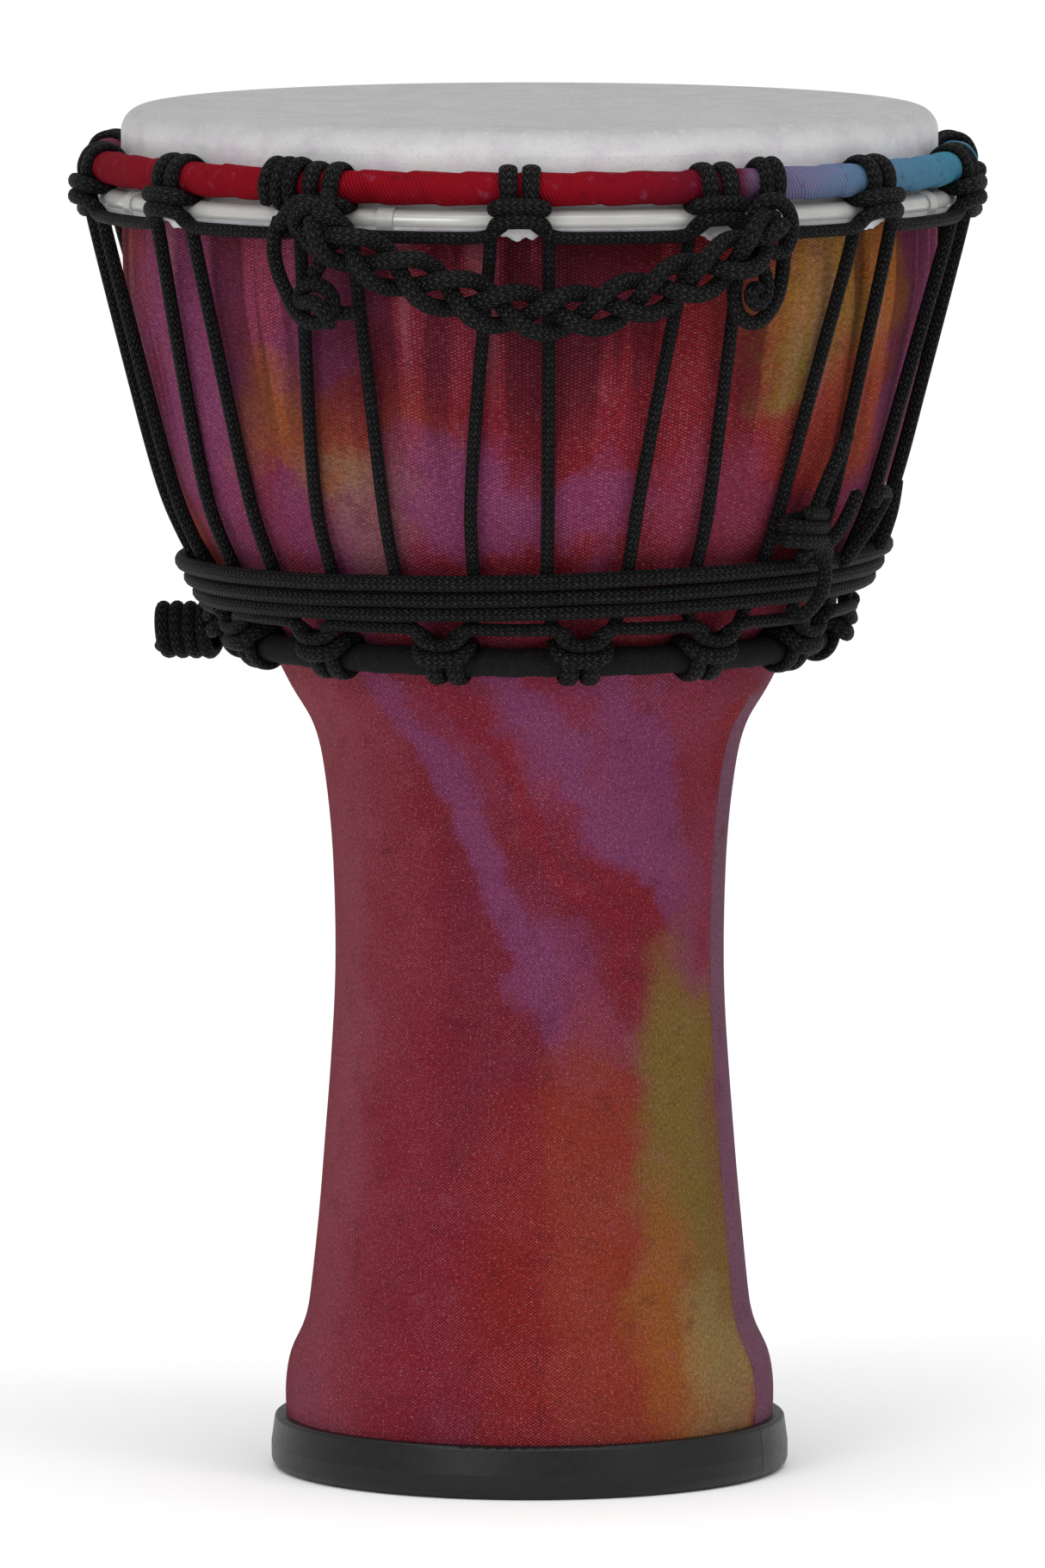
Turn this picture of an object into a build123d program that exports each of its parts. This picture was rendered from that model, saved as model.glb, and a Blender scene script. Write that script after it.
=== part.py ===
from build123d import *
import os
from math import cos, radians, sin

# A rope-tuned djembe, standing on its foot.  The origin is the centre of the mouth
# in the foot, +Z runs up the drum's axis and the player's side is -Y.  A place is
# given as (azimuth, radius, height): azimuth is in degrees from -Y toward +X.

# ---- driving dimensions, mm ----------------------------------------------------
HEAD_TOP = 384.0            # height of the playing surface
HEAD_R = 114.5              # outside radius of the head's collar
HEAD_SHOULDER = 6.8         # rounding between playing surface and collar
FILM = 0.35                 # thickness of the head film
CLOTH = 0.8                 # thickness of the cloth glued round the shell
GLUE_GAP = 0.05             # between the cloth and the shell
WALL = 4.0                  # shell wall, measured along the radius
CLOTH_BOTTOM = 5.0
CLOTH_TOP = 356.0
RIM_R = 113.9               # bearing rim that the head is stretched over

FOOT_R = 72.9               # rubber foot ring
FOOT_HEIGHT = 15.0
FOOT_FLANGE = 3.0           # part of the foot ring that goes under the shell
FOOT_MOUTH_R = 61.0
FOOT_JOINT_AZ = 64.0

HOOP = (119.5, 359.7)       # flesh hoop: radius and height of its centre line
HOOP_TUBE_R = 3.1
HOOP_WIRE_R = 1.6
HOOP_SLEEVE_R = 3.75
HOOP_SLEEVE_AZ = (-66.5, -20.0, 64.5)

CROWN = (120.7, 368.7)      # crown ring, wrapped in cloth
CROWN_R = 4.3
LOWER = (80.2, 235.0)       # lower ring, wrapped in black cloth
LOWER_R = 3.8
RING_CLOTH = 0.8            # thickness of the cloth wound round both rings

ROPE_R = 2.0
SQUEEZE = 0.06              # how far a rope stays from another that crosses it
SLACK_R = 0.04              # a rope is this much thicker where nothing presses it
HITCHES = 14
PITCH = 360.0 / HITCHES
FIRST_TOP_AZ = -1.3         # azimuth of the top hitch nearest the player
BOTTOM_SHIFT = 10.9         # the lower hitches are turned by this from the top ones
TOP_SPREAD = 3.75           # half the angle between a pair of ropes, at the top
BOTTOM_SPREAD = 6.8         # and at the bottom

TOP_STRAND = (125.0, 355.5)     # loops of the top cradle, between its hitches
BOTTOM_STRAND = (91.1, 245.0)   # loops of the lower cradle
COUNTER_WRAPS = ((98.3, 257.9), (95.8, 253.3), (93.4, 249.1))

HANDLE_R = 5.2              # the braided handle, taken as a round bar
COIL_AZ = -103.0            # hank of spare rope
COIL_R = 6.4

os.makedirs("parts", exist_ok=True)


# ---- helpers -------------------------------------------------------------------
def at(azimuth, radius, height):
    """Point of the drum from its azimuth, radius and height."""
    turn = radians(azimuth)
    return (radius * sin(turn), -radius * cos(turn), height)


def radial_plane(azimuth):
    """Plane through the drum's axis, with x along the radius and y up."""
    turn = radians(azimuth)
    return Plane(
        origin=(0, 0, 0),
        x_dir=(sin(turn), -cos(turn), 0),
        z_dir=(-cos(turn), -sin(turn), 0),
    )


def outward(azimuth, radius, height, lean=0.0):
    """Plane at a place on the drum, facing outward, and leaning about its normal's side."""
    turn = radians(azimuth)
    return Plane(
        origin=at(azimuth, radius, height),
        x_dir=(cos(turn), sin(turn), 0),
        z_dir=(sin(turn), -cos(turn), 0),
    ).rotated((0, lean, 0))


def finish(part, name):
    """Label a finished piece and write it."""
    part.label = name
    export_step(part, f"parts/{name}.step")


def rope(points, radius, bends):
    """Rope along straight runs joined by tangent arcs."""
    with BuildPart() as run:
        with BuildLine() as path:
            FilletPolyline(*points, radius=bends)
        with BuildSketch(Plane(path.line @ 0, z_dir=path.line % 0)):
            Circle(radius)
        sweep()
    return run.part


def ring(centre, radius, start=0.0, arc=360.0, hollow=0.0):
    """Round bar bent about the drum's axis, or a tube when hollow is its bore."""
    with BuildPart() as bar:
        with BuildSketch(radial_plane(start)):
            with Locations(centre):
                Circle(radius)
                if hollow:
                    Circle(hollow, mode=Mode.SUBTRACT)
        revolve(axis=Axis.Z, revolution_arc=arc)
    return bar.part


def band(azimuth, hole, hole_r, outer, outer_r, width):
    """Turn of rope, pressed flat where it passes between a ring and the drum."""
    with BuildPart() as turn:
        with BuildSketch(radial_plane(azimuth)):
            with Locations(outer):
                Circle(outer_r)
            with Locations(hole):
                Circle(hole_r, mode=Mode.SUBTRACT)
        extrude(amount=width / 2, both=True)
        rims = turn.edges().filter_by(GeomType.CIRCLE).sort_by(SortBy.RADIUS)[-2:]
        fillet(rims, 1.0)
    return turn.part


def turned(part, azimuth):
    """Copy of a piece, turned about the drum's axis."""
    return part.rotate(Axis.Z, azimuth)


# ---- shell and cloth -----------------------------------------------------------
# Outside of the cloth, as radius and height: the foot, the stem and the bowl.
FOOT_EDGE = (68.5, 24.0)
BOWL_TOP = (113.0, 343.0)
FLANK = (
    FOOT_EDGE, (67.0, 32.5), (62.9, 42.0), (60.9, 55.0), (57.5, 92.0), (54.6, 136.0),
    (55.0, 171.0), (57.2, 195.5), (60.4, 210.0), (66.6, 221.0), (74.2, 235.0),
    (87.9, 256.0), (100.9, 281.5), (109.2, 317.0), (112.4, 333.0), BOWL_TOP,
)


def flank(inset):
    """The cloth's outline, moved toward the axis by inset."""
    return [(radius - inset, height) for radius, height in FLANK]


SHELL_INSET = CLOTH + GLUE_GAP
INNER_INSET = SHELL_INSET + WALL
SHELL_BOTTOM = FOOT_FLANGE + 0.1
SHELL_TOP = HEAD_TOP - FILM - 0.05
RIM_ROUND = 6.0

with BuildPart() as shell:
    with BuildSketch(Plane.XZ):
        with BuildLine():
            outer = Spline(*flank(SHELL_INSET))
            rim = Polyline(
                outer @ 1,
                (BOWL_TOP[0] - SHELL_INSET, 361.0),
                (RIM_R, 365.0),
                (RIM_R, SHELL_TOP - RIM_ROUND),
            )
            bearing = CenterArc(
                (RIM_R - RIM_ROUND, SHELL_TOP - RIM_ROUND), RIM_ROUND, 0, 90
            )
            inner = Spline(*flank(INNER_INSET))
            Polyline(
                bearing @ 1,
                (RIM_R - RIM_ROUND - 1.0, SHELL_TOP),
                (RIM_R - RIM_ROUND - 1.0, SHELL_TOP - 8.0),
                inner @ 1,
            )
            Polyline(
                inner @ 0,
                (FOOT_EDGE[0] - INNER_INSET, SHELL_BOTTOM),
                (FOOT_EDGE[0] - SHELL_INSET, SHELL_BOTTOM),
                outer @ 0,
            )
        make_face()
    revolve(axis=Axis.Z)
finish(shell.part, "shell")

with BuildPart() as fabric_wrap:
    with BuildSketch(Plane.XZ):
        with BuildLine():
            outer = Spline(*flank(0))
            inner = Spline(*flank(CLOTH))
            Polyline(
                outer @ 1, (BOWL_TOP[0], CLOTH_TOP), (BOWL_TOP[0] - CLOTH, CLOTH_TOP), inner @ 1
            )
            Polyline(
                inner @ 0,
                (FOOT_EDGE[0] - CLOTH, CLOTH_BOTTOM),
                (FOOT_EDGE[0], CLOTH_BOTTOM),
                outer @ 0,
            )
        make_face()
    revolve(axis=Axis.Z)
finish(fabric_wrap.part, "fabric_wrap")

# The cloth's free edge laps over its start and is glued down.
SEAM_BOTTOM = FOOT_HEIGHT + 1.0
SEAM_TOP = 221.0
SEAM_AZ = 66.0
SEAM_ARC = 5.5
SEAM_THICKNESS = 0.7

with BuildPart() as fabric_seam:
    with BuildSketch(radial_plane(SEAM_AZ)):
        with BuildLine():
            outer = Spline(*flank(-GLUE_GAP - SEAM_THICKNESS))
            inner = Spline(*flank(-GLUE_GAP))
            Line(outer @ 1, inner @ 1)
            Polyline(
                inner @ 0,
                (FOOT_EDGE[0] + GLUE_GAP, SEAM_BOTTOM),
                (FOOT_EDGE[0] + GLUE_GAP + SEAM_THICKNESS, SEAM_BOTTOM),
                outer @ 0,
            )
        make_face()
    revolve(axis=Axis.Z, revolution_arc=SEAM_ARC)
    split(bisect_by=Plane.XY.offset(SEAM_TOP), keep=Keep.BOTTOM)
finish(fabric_seam.part, "fabric_seam")

# ---- foot ring -----------------------------------------------------------------
FOOT_INNER_R = FOOT_EDGE[0] + 0.15

with BuildPart() as foot_ring:
    with BuildSketch(Plane.XZ):
        with BuildLine():
            Polyline(
                (FOOT_MOUTH_R, 0),
                (FOOT_R, 0),
                (FOOT_R, 7.0),
                (FOOT_R - 1.1, FOOT_HEIGHT),
                (FOOT_INNER_R, FOOT_HEIGHT),
                (FOOT_INNER_R, FOOT_FLANGE),
                (FOOT_MOUTH_R, FOOT_FLANGE),
                close=True,
            )
        make_face()
    revolve(axis=Axis.Z)
    ground = foot_ring.edges().filter_by(GeomType.CIRCLE).group_by(Axis.Z)[0]
    fillet(ground.sort_by(SortBy.RADIUS)[-1], 3.2)
    lip = foot_ring.edges().filter_by(GeomType.CIRCLE).group_by(Axis.Z)[-1]
    fillet(lip.sort_by(SortBy.RADIUS)[-1], 1.2)
    with BuildSketch(radial_plane(FOOT_JOINT_AZ)):
        with Locations((FOOT_R, FOOT_HEIGHT / 2)):
            Rectangle(2 * (FOOT_R - FOOT_INNER_R) + 3, FOOT_HEIGHT + 4)
    extrude(amount=0.12, both=True, mode=Mode.SUBTRACT)
finish(foot_ring.part, "foot_ring")

# ---- head: playing surface, collar, and the tuck under the flesh hoop ------------
TUCK_START = 367.0
TUCK_END = 300.0            # angle round the hoop where the film is cut
HOOP_GAP = 0.05


def head_side(depth):
    """One face of the film, depth below its outer face."""
    shoulder = HEAD_SHOULDER - depth
    centre = (HEAD_R - HEAD_SHOULDER, HEAD_TOP - HEAD_SHOULDER)
    wrap = HOOP_TUBE_R + HOOP_GAP + depth
    top = Line((0, HEAD_TOP - depth), (centre[0], HEAD_TOP - depth))
    bend = CenterArc(centre, shoulder, 90, -90)
    collar = Polyline(bend @ 1, (HEAD_R - depth, TUCK_START), (HOOP[0] - wrap, HOOP[1]))
    tuck = CenterArc(HOOP, wrap, 180, TUCK_END - 180)
    return top, tuck


with BuildPart() as drum_head:
    with BuildSketch(Plane.XZ):
        with BuildLine():
            top_outer, tuck_outer = head_side(0)
            top_inner, tuck_inner = head_side(FILM)
            Line(top_outer @ 0, top_inner @ 0)
            Line(tuck_outer @ 1, tuck_inner @ 1)
        make_face()
    revolve(axis=Axis.Z)
finish(drum_head.part, "drum_head")

# ---- flesh hoop ------------------------------------------------------------------
finish(ring(HOOP, HOOP_WIRE_R), "flesh_hoop_wire")
finish(ring(HOOP, HOOP_TUBE_R, hollow=HOOP_WIRE_R + 0.05), "flesh_hoop_tube")

# Short sleeves clipped over the tube from outside, where its lengths meet.
with BuildPart() as flesh_hoop_sleeves:
    for azimuth in HOOP_SLEEVE_AZ:
        with BuildSketch(radial_plane(azimuth)):
            with BuildLine():
                clip = CenterArc(HOOP, HOOP_SLEEVE_R, -55, 170)
                seat = CenterArc(HOOP, HOOP_TUBE_R + HOOP_GAP, -55, 170)
                Line(clip @ 0, seat @ 0)
                Line(clip @ 1, seat @ 1)
            make_face()
        revolve(axis=Axis.Z, revolution_arc=2.2)
finish(flesh_hoop_sleeves.part, "flesh_hoop_sleeves")

# ---- crown ring and lower ring ---------------------------------------------------
for centre, radius, name in ((CROWN, CROWN_R, "crown_ring"), (LOWER, LOWER_R, "lower_ring")):
    rod = radius - RING_CLOTH
    finish(ring(centre, rod - 0.05), f"{name}_rod")
    finish(ring(centre, radius, hollow=rod), f"{name}_cloth")

# ---- top hitches: cow hitches on the crown ring ----------------------------------
EAR_AZ = 1.42               # the two turns over the ring stand this far off centre
EAR_WIDTH = 5.0
TOP_LEG_END = 5.7


def top_legs(radius):
    """Both legs of a top hitch, with half of the loop on each side."""
    legs = []
    for side in (-1, 1):
        leg = rope(
            [
                at(side * 0.95, 125.4, 364.5),
                at(side * 1.05, 125.0, 360.6),
                at(side * 3.7, *TOP_STRAND),
                at(side * TOP_LEG_END, *TOP_STRAND),
            ],
            radius,
            [2.6, 2.6],
        )
        start = 5.0 if side > 0 else -PITCH / 2
        loop = ring(TOP_STRAND, radius + SLACK_R, start=start, arc=PITCH / 2 - 5.0)
        legs += [leg, loop]
    return legs


def top_bar(radius):
    """Bar of a top hitch, across the front of the ring."""
    return rope(
        [
            at(-3.75, 125.9, 363.7),
            at(-2.4, 127.4, 364.6),
            at(2.4, 127.4, 364.6),
            at(3.75, 125.9, 363.7),
        ],
        radius,
        [2.6, 2.6],
    )


with BuildPart() as top_hitch:
    for side in (-1, 1):
        add(band(side * EAR_AZ, CROWN, CROWN_R + 0.12, (121.2, 369.3), 6.3, EAR_WIDTH))
    add(top_bar(2.2))
    for piece in top_legs(ROPE_R):
        add(piece)

# ---- bottom hitches: cow hitches on the lower ring --------------------------------
FOOT_AZ = 3.0               # the two turns under the ring stand this far off centre
LOWER_EAR_WIDTH = 4.6


def bottom_legs(radius):
    """Both legs of a bottom hitch, with half of the loop on each side."""
    legs = []
    for side in (-1, 1):
        leg = rope(
            [
                at(side * 1.5, 86.3, 236.6),
                at(side * 1.5, 84.3, 240.2),
                at(side * 3.0, 88.2, 245.0),
                at(side * 6.2, *BOTTOM_STRAND),
                at(side * 8.5, *BOTTOM_STRAND),
            ],
            radius,
            [2.3, 2.3, 2.3],
        )
        start = 7.5 if side > 0 else -PITCH / 2
        loop = ring(BOTTOM_STRAND, radius + SLACK_R, start=start, arc=PITCH / 2 - 7.5)
        legs += [leg, loop]
    return legs


def bottom_bar(radius):
    """Bar of a bottom hitch, its ends going up and over the ring."""
    return rope(
        [
            at(-6.4, 85.6, 239.6),
            at(-4.4, 87.6, 236.3),
            at(4.4, 87.6, 236.3),
            at(6.4, 85.6, 239.6),
        ],
        radius,
        [2.6, 2.6],
    )


with BuildPart() as bottom_hitch:
    for side in (-1, 1):
        add(band(side * FOOT_AZ, LOWER, LOWER_R + 0.12, (80.95, 234.6), 5.55, LOWER_EAR_WIDTH))
    add(bottom_bar(2.1))
    for piece in bottom_legs(ROPE_R):
        add(piece)

# ---- tension rope: from one bottom hitch over a top hitch to the next -------------
# Each length rises behind the loops, passes over the legs of its top hitch, and
# goes down again to pass over the legs of the bottom hitches at its two ends.
RIGHT_END = BOTTOM_SHIFT
LEFT_END = BOTTOM_SHIFT - PITCH
ARCH = (88.35, 240.4)


def tension_side(end, side):
    """Points from a bottom hitch at azimuth end up to the top hitch at 0."""
    foot_az = end - side * BOTTOM_SPREAD
    return [
        at(end - side * 0.1, *ARCH),
        at(end - side * 3.6, ARCH[0] + 0.2, ARCH[1]),
        at(end - side * 6.0, 88.5, 243.6),
        at(foot_az, 88.9, 249.3),
        at(foot_az, 98.6, 267.0),
        at(foot_az + 0.05 * (side * TOP_SPREAD - foot_az), 103.9, 281.0),
        at(side * TOP_SPREAD, 122.2, 351.0),
        at(side * TOP_SPREAD, 122.8, 357.2),
        at(side * 2.7, 129.1, 360.2),
    ]


TENSION_BENDS = [2.6, 4.0, 8.0, 20.0, 60.0, 20.0, 2.4, 2.6]
right_side = tension_side(RIGHT_END, 1)
left_side = tension_side(LEFT_END, -1)

with BuildPart() as tension_rope:
    add(rope(right_side + left_side[::-1], ROPE_R, TENSION_BENDS + TENSION_BENDS[::-1]))
    for piece in top_legs(ROPE_R + SQUEEZE) + [top_bar(2.2 + SQUEEZE)]:
        add(piece, mode=Mode.SUBTRACT)
    for end in (LEFT_END, RIGHT_END):
        for piece in bottom_legs(ROPE_R + SQUEEZE) + [bottom_bar(2.1 + SQUEEZE)]:
            add(turned(piece, end), mode=Mode.SUBTRACT)
    add(
        ring(HOOP, HOOP_TUBE_R + HOOP_GAP + FILM + SQUEEZE, start=-8, arc=16),
        mode=Mode.SUBTRACT,
    )

for number in range(HITCHES):
    azimuth = FIRST_TOP_AZ + number * PITCH
    finish(turned(top_hitch.part, azimuth), f"top_hitch_{number + 1:02d}")
    finish(turned(tension_rope.part, azimuth), f"tension_rope_{number + 1:02d}")
    lower_azimuth = azimuth + BOTTOM_SHIFT
    finish(turned(bottom_hitch.part, lower_azimuth), f"bottom_hitch_{number + 1:02d}")

# ---- counter-wraps: turns of rope that bind the tension ropes ----------------------
with BuildPart() as counter_wraps:
    for centre in COUNTER_WRAPS:
        add(ring(centre, ROPE_R))
finish(counter_wraps.part, "counter_wraps")

# ---- tie-off: where the tension rope ends, above the counter-wraps -----------------
KNOT = (47.8, 107.2, 278.0)

with BuildPart() as tie_off_knot:
    for lean, lift in ((-20, 1.7), (24, -1.8)):
        with Locations(outward(KNOT[0], KNOT[1], KNOT[2] + lift, lean)):
            Torus(4.0, ROPE_R)
    add(
        rope(
            [
                at(46.4, 107.4, 274.0),
                at(45.6, 107.4, 263.0),
                at(46.6, 102.4, 250.6),
                at(49.4, 102.4, 250.6),
                at(50.4, 107.6, 263.0),
                at(49.4, 107.6, 274.0),
            ],
            ROPE_R,
            [6.0, 2.4, 2.4, 6.0],
        )
    )
    add(
        rope(
            [at(49.0, 108.2, 281.0), at(52.0, 112.6, 291.5), at(55.6, 115.0, 304.0)],
            ROPE_R,
            [12.0],
        )
    )
    add(
        rope(
            [at(49.6, 108.2, 276.5), at(54.0, 109.6, 273.5), at(57.0, 106.4, 262.5)],
            ROPE_R,
            [5.0],
        )
    )
finish(tie_off_knot.part, "tie_off_knot")

# ---- braided carrying handle --------------------------------------------------------
HANDLE_ROUTE = [
    at(-24.5, 136.5, 364.5),
    at(-18.8, 134.6, 353.4),
    at(-12.3, 131.4, 343.6),
    at(-4.6, 128.8, 336.6),
    at(3.4, 128.2, 334.4),
    at(11.2, 129.4, 337.4),
    at(18.6, 133.0, 345.2),
    at(24.0, 137.0, 353.6),
    at(27.5, 137.4, 361.5),
]
handle_braid = BuildPart()
with handle_braid:
    add(rope(HANDLE_ROUTE, HANDLE_R, [18, 24, 24, 24, 24, 24, 14]))
finish(handle_braid.part, "handle_braid")


def handle_tie(bands_at, hanging, bends):
    """Turns of rope on the crown ring, with a knot and the loop that hangs from it."""
    middle = sum(bands_at) / 2
    with BuildPart() as tie:
        for azimuth in bands_at:
            add(band(azimuth, CROWN, CROWN_R + 0.12, (121.2, 369.3), 6.3, 4.2))
        for lean, lift in ((-22, 366.8), (26, 363.1)):
            with Locations(outward(middle, 129.4, lift, lean)):
                Torus(3.4, ROPE_R)
        add(rope(hanging, ROPE_R, bends))
    return tie.part


LEFT_TIE = (-35.6, -33.4)
left_loop = [
    at(-34.4, 129.6, 364.0),
    at(-35.0, 130.4, 351.0),
    at(-32.6, 128.0, 338.5),
    at(-29.2, 127.0, 333.0),
    at(-26.4, 128.4, 339.5),
    at(-27.8, 131.4, 350.0),
    at(-32.6, 131.6, 359.0),
]
finish(handle_tie(LEFT_TIE, left_loop, [9, 7, 4.5, 4.5, 6]), "handle_tie_left")

RIGHT_TIE = (30.9, 33.1)
right_loop = [
    at(32.0, 129.6, 364.0),
    at(32.6, 130.4, 351.0),
    at(30.6, 128.0, 339.0),
    at(27.8, 127.4, 334.0),
    at(25.6, 128.8, 341.0),
    at(27.2, 131.2, 350.0),
    at(31.0, 131.6, 358.0),
]
finish(handle_tie(RIGHT_TIE, right_loop, [9, 6, 3.5, 4.0, 5]), "handle_tie_right")

# ---- hank of spare rope, coiled on a radial axis beside the lower ring --------------
COIL_TURNS = 5
COIL_PITCH = 3.9
COIL_START = 89.6
COIL_HEIGHT = 232.5

with BuildPart() as spare_rope_coil:
    for turn in range(COIL_TURNS):
        radius = COIL_START + turn * COIL_PITCH
        with Locations(outward(COIL_AZ, radius, COIL_HEIGHT)):
            Torus(COIL_R, ROPE_R)
    add(
        rope(
            [
                at(COIL_AZ, COIL_START - 2.4, COIL_HEIGHT - 5.6),
                at(COIL_AZ, COIL_START + 8.0, COIL_HEIGHT + 1.0),
                at(COIL_AZ, COIL_START + 15.0, COIL_HEIGHT + 5.0),
            ],
            ROPE_R,
            [8.0],
        )
    )
finish(spare_rope_coil.part, "spare_rope_coil")
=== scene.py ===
"""Nine inch rope tuned djembe, dressed piece by piece over its CAD frame."""

import logging
import math
from dataclasses import dataclass, field
from enum import Enum
from typing import Callable, Protocol, Sequence, Union

import bmesh
import bpy
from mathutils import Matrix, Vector, noise


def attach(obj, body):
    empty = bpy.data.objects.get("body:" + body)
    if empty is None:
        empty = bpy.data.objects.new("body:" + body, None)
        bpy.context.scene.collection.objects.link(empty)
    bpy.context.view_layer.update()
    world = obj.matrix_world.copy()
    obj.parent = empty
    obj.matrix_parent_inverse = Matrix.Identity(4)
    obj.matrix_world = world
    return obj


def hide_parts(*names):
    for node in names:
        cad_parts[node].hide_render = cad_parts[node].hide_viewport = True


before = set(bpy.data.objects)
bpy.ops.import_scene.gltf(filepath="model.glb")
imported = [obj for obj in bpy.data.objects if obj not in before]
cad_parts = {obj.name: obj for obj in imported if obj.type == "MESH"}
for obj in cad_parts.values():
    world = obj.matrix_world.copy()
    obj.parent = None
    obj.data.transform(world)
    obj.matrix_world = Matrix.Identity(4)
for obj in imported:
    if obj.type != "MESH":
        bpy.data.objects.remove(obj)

LOG = logging.getLogger("djembe")
MM = 0.001
TAU = math.tau

# The rope's plan: azimuths are in degrees from the front, lengths in millimetres.
HITCHES = 14
PITCH = 360.0 / HITCHES
FIRST_TOP = -1.3
BOTTOM_SHIFT = 10.9
ROPE_RADIUS = 2.0
KNOT_RADIUS = 2.1
# Both rings, as ring radius, height and radius of the wound section.
CROWN = (120.7, 368.7, 4.3)
LOWER = (80.2, 235.0, 3.8)
# Radius and height of the level strand between hitches.
TOP_STRAND = (125.0, 355.5)
BOTTOM_STRAND = (91.1, 245.0)
# Azimuth of the cloth's lap.
LAP = 66.0

Polar = tuple[float, float, float]
Socket = bpy.types.NodeSocket
Value = Union[float, Socket]
Colour = tuple[float, float, float, float]
Material = bpy.types.Material
Piece = bpy.types.Object
Mesh = bmesh.types.BMesh
Geometry = list[Union[bmesh.types.BMVert, bmesh.types.BMEdge]]


class Body(Enum):
    """Bodies of the CAD frame that pieces ride on."""

    DRUM = "drum"
    HANDLE = "handle"


class Slot(Enum):
    """Material slots named in the record."""

    SHELL = "shell_plastic"
    TIE_DYE = "tie_dye_cloth"
    FOOT = "foot_rubber"
    FILM = "head_film"
    HOOP = "hoop_plastic"
    STEEL = "ring_steel"
    CROWN = "crown_cloth"
    DARK_CLOTH = "black_cloth"
    ROPE = "black_rope"


def at(azimuth: float, radius: float, height: float) -> Vector:
    """Point at an azimuth in degrees from the front, with radius and height in millimetres."""
    turn = math.radians(azimuth)
    return Vector((radius * math.sin(turn), -radius * math.cos(turn), height)) * MM


def beside(right: float, radius: float, height: float) -> Vector:
    """Point at a distance to the right of the front, with radius and height, all in millimetres."""
    return at(math.degrees(math.asin(right / radius)), radius, height)


def azimuth_of(point: Vector) -> float:
    """Azimuth of a point, in degrees from the front."""
    return math.degrees(math.atan2(point.x, -point.y))


def outward_of(point: Vector) -> Vector:
    """Level unit vector from the drum's axis through a point."""
    return Vector((point.x, point.y, 0.0)).normalized()


def smooth(value: float, low: float, high: float) -> float:
    """Smooth step from 0 at low to 1 at high."""
    share = min(1.0, max(0.0, (value - low) / (high - low)))
    return share * share * (3.0 - 2.0 * share)


def srgb(red: int, green: int, blue: int) -> Colour:
    """Linear colour of an 8 bit display colour.

    Args:
        red: red, from 0 to 255.
        green: green.
        blue: blue.

    Returns:
        Red, green, blue and alpha for a shader.
    """

    def linear(channel: int) -> float:
        share = channel / 255.0
        return share / 12.92 if share <= 0.04045 else ((share + 0.055) / 1.055) ** 2.4

    return (linear(red), linear(green), linear(blue), 1.0)


# ---------------------------------------------------------------- studio


@dataclass
class Studio:
    """Camera, floor and lights.

    Args:
        distance: level distance from the drum's axis to the camera, in metres.
        height: height of the camera.
        target: point the camera looks at.
        lens: focal length in millimetres, for a 36 mm high sensor.
    """

    distance: float = 4.6
    height: float = 0.67
    target: tuple[float, float, float] = (-0.002, 0.0, 0.193)
    lens: float = 377.5

    def build(self) -> None:
        """Makes the camera, then the lights and the floor."""
        data = bpy.data.cameras.new("studio_camera")
        data.sensor_fit = "VERTICAL"
        data.sensor_height = 36.0
        data.lens = self.lens
        data.clip_end = 100.0
        camera = bpy.data.objects.new("studio_camera", data)
        camera.location = (self.target[0], -self.distance, self.height)
        aim = Vector(self.target) - camera.location
        camera.rotation_euler = aim.to_track_quat("-Z", "Y").to_euler()
        bpy.context.scene.collection.objects.link(camera)
        bpy.context.scene.camera = camera
        bpy.context.scene.view_settings.view_transform = "Standard"
        self._lights()
        self._floor()

    def _lights(self) -> None:
        """Soft boxes on both sides, one overhead, and a bright even surround."""
        world = bpy.data.worlds.new("studio_surround")
        world.use_nodes = True
        back = world.node_tree.nodes["Background"]
        back.inputs["Color"].default_value = (1.0, 1.0, 1.0, 1.0)
        back.inputs["Strength"].default_value = 0.5
        bpy.context.scene.world = world
        boxes = (
            ("soft_box_left", (-1.3, -2.3, 1.2), 1.0, 21.0),
            ("soft_box_right", (1.9, -1.6, 1.3), 1.0, 13.0),
        )
        for name, place, side, power in boxes:
            light = bpy.data.lights.new(name, "AREA")
            light.size = side
            light.energy = power
            lamp = bpy.data.objects.new(name, light)
            lamp.location = place
            aim = Vector((0.0, 0.0, 0.2)) - lamp.location
            lamp.rotation_euler = aim.to_track_quat("-Z", "Y").to_euler()
            bpy.context.scene.collection.objects.link(lamp)
        sky = bpy.data.lights.new("overhead_silk", "SUN")
        sky.energy = 1.9
        sky.angle = math.radians(70.0)
        silk = bpy.data.objects.new("overhead_silk", sky)
        silk.rotation_euler = (math.radians(12.0), 0.0, 0.0)
        bpy.context.scene.collection.objects.link(silk)

    def _floor(self) -> None:
        """A wide pale floor under the drum."""
        mesh = bpy.data.meshes.new("studio_floor")
        bm = bmesh.new()
        bmesh.ops.create_grid(bm, x_segments=1, y_segments=1, size=30.0)
        bm.to_mesh(mesh)
        bm.free()
        floor = bpy.data.objects.new("studio_floor", mesh)
        bpy.context.scene.collection.objects.link(floor)
        graph = Graph("studio_floor_paint")
        mesh.materials.append(graph.surface((0.96, 0.96, 0.96, 1.0), 0.9))


# ---------------------------------------------------------------- finishes


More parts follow.
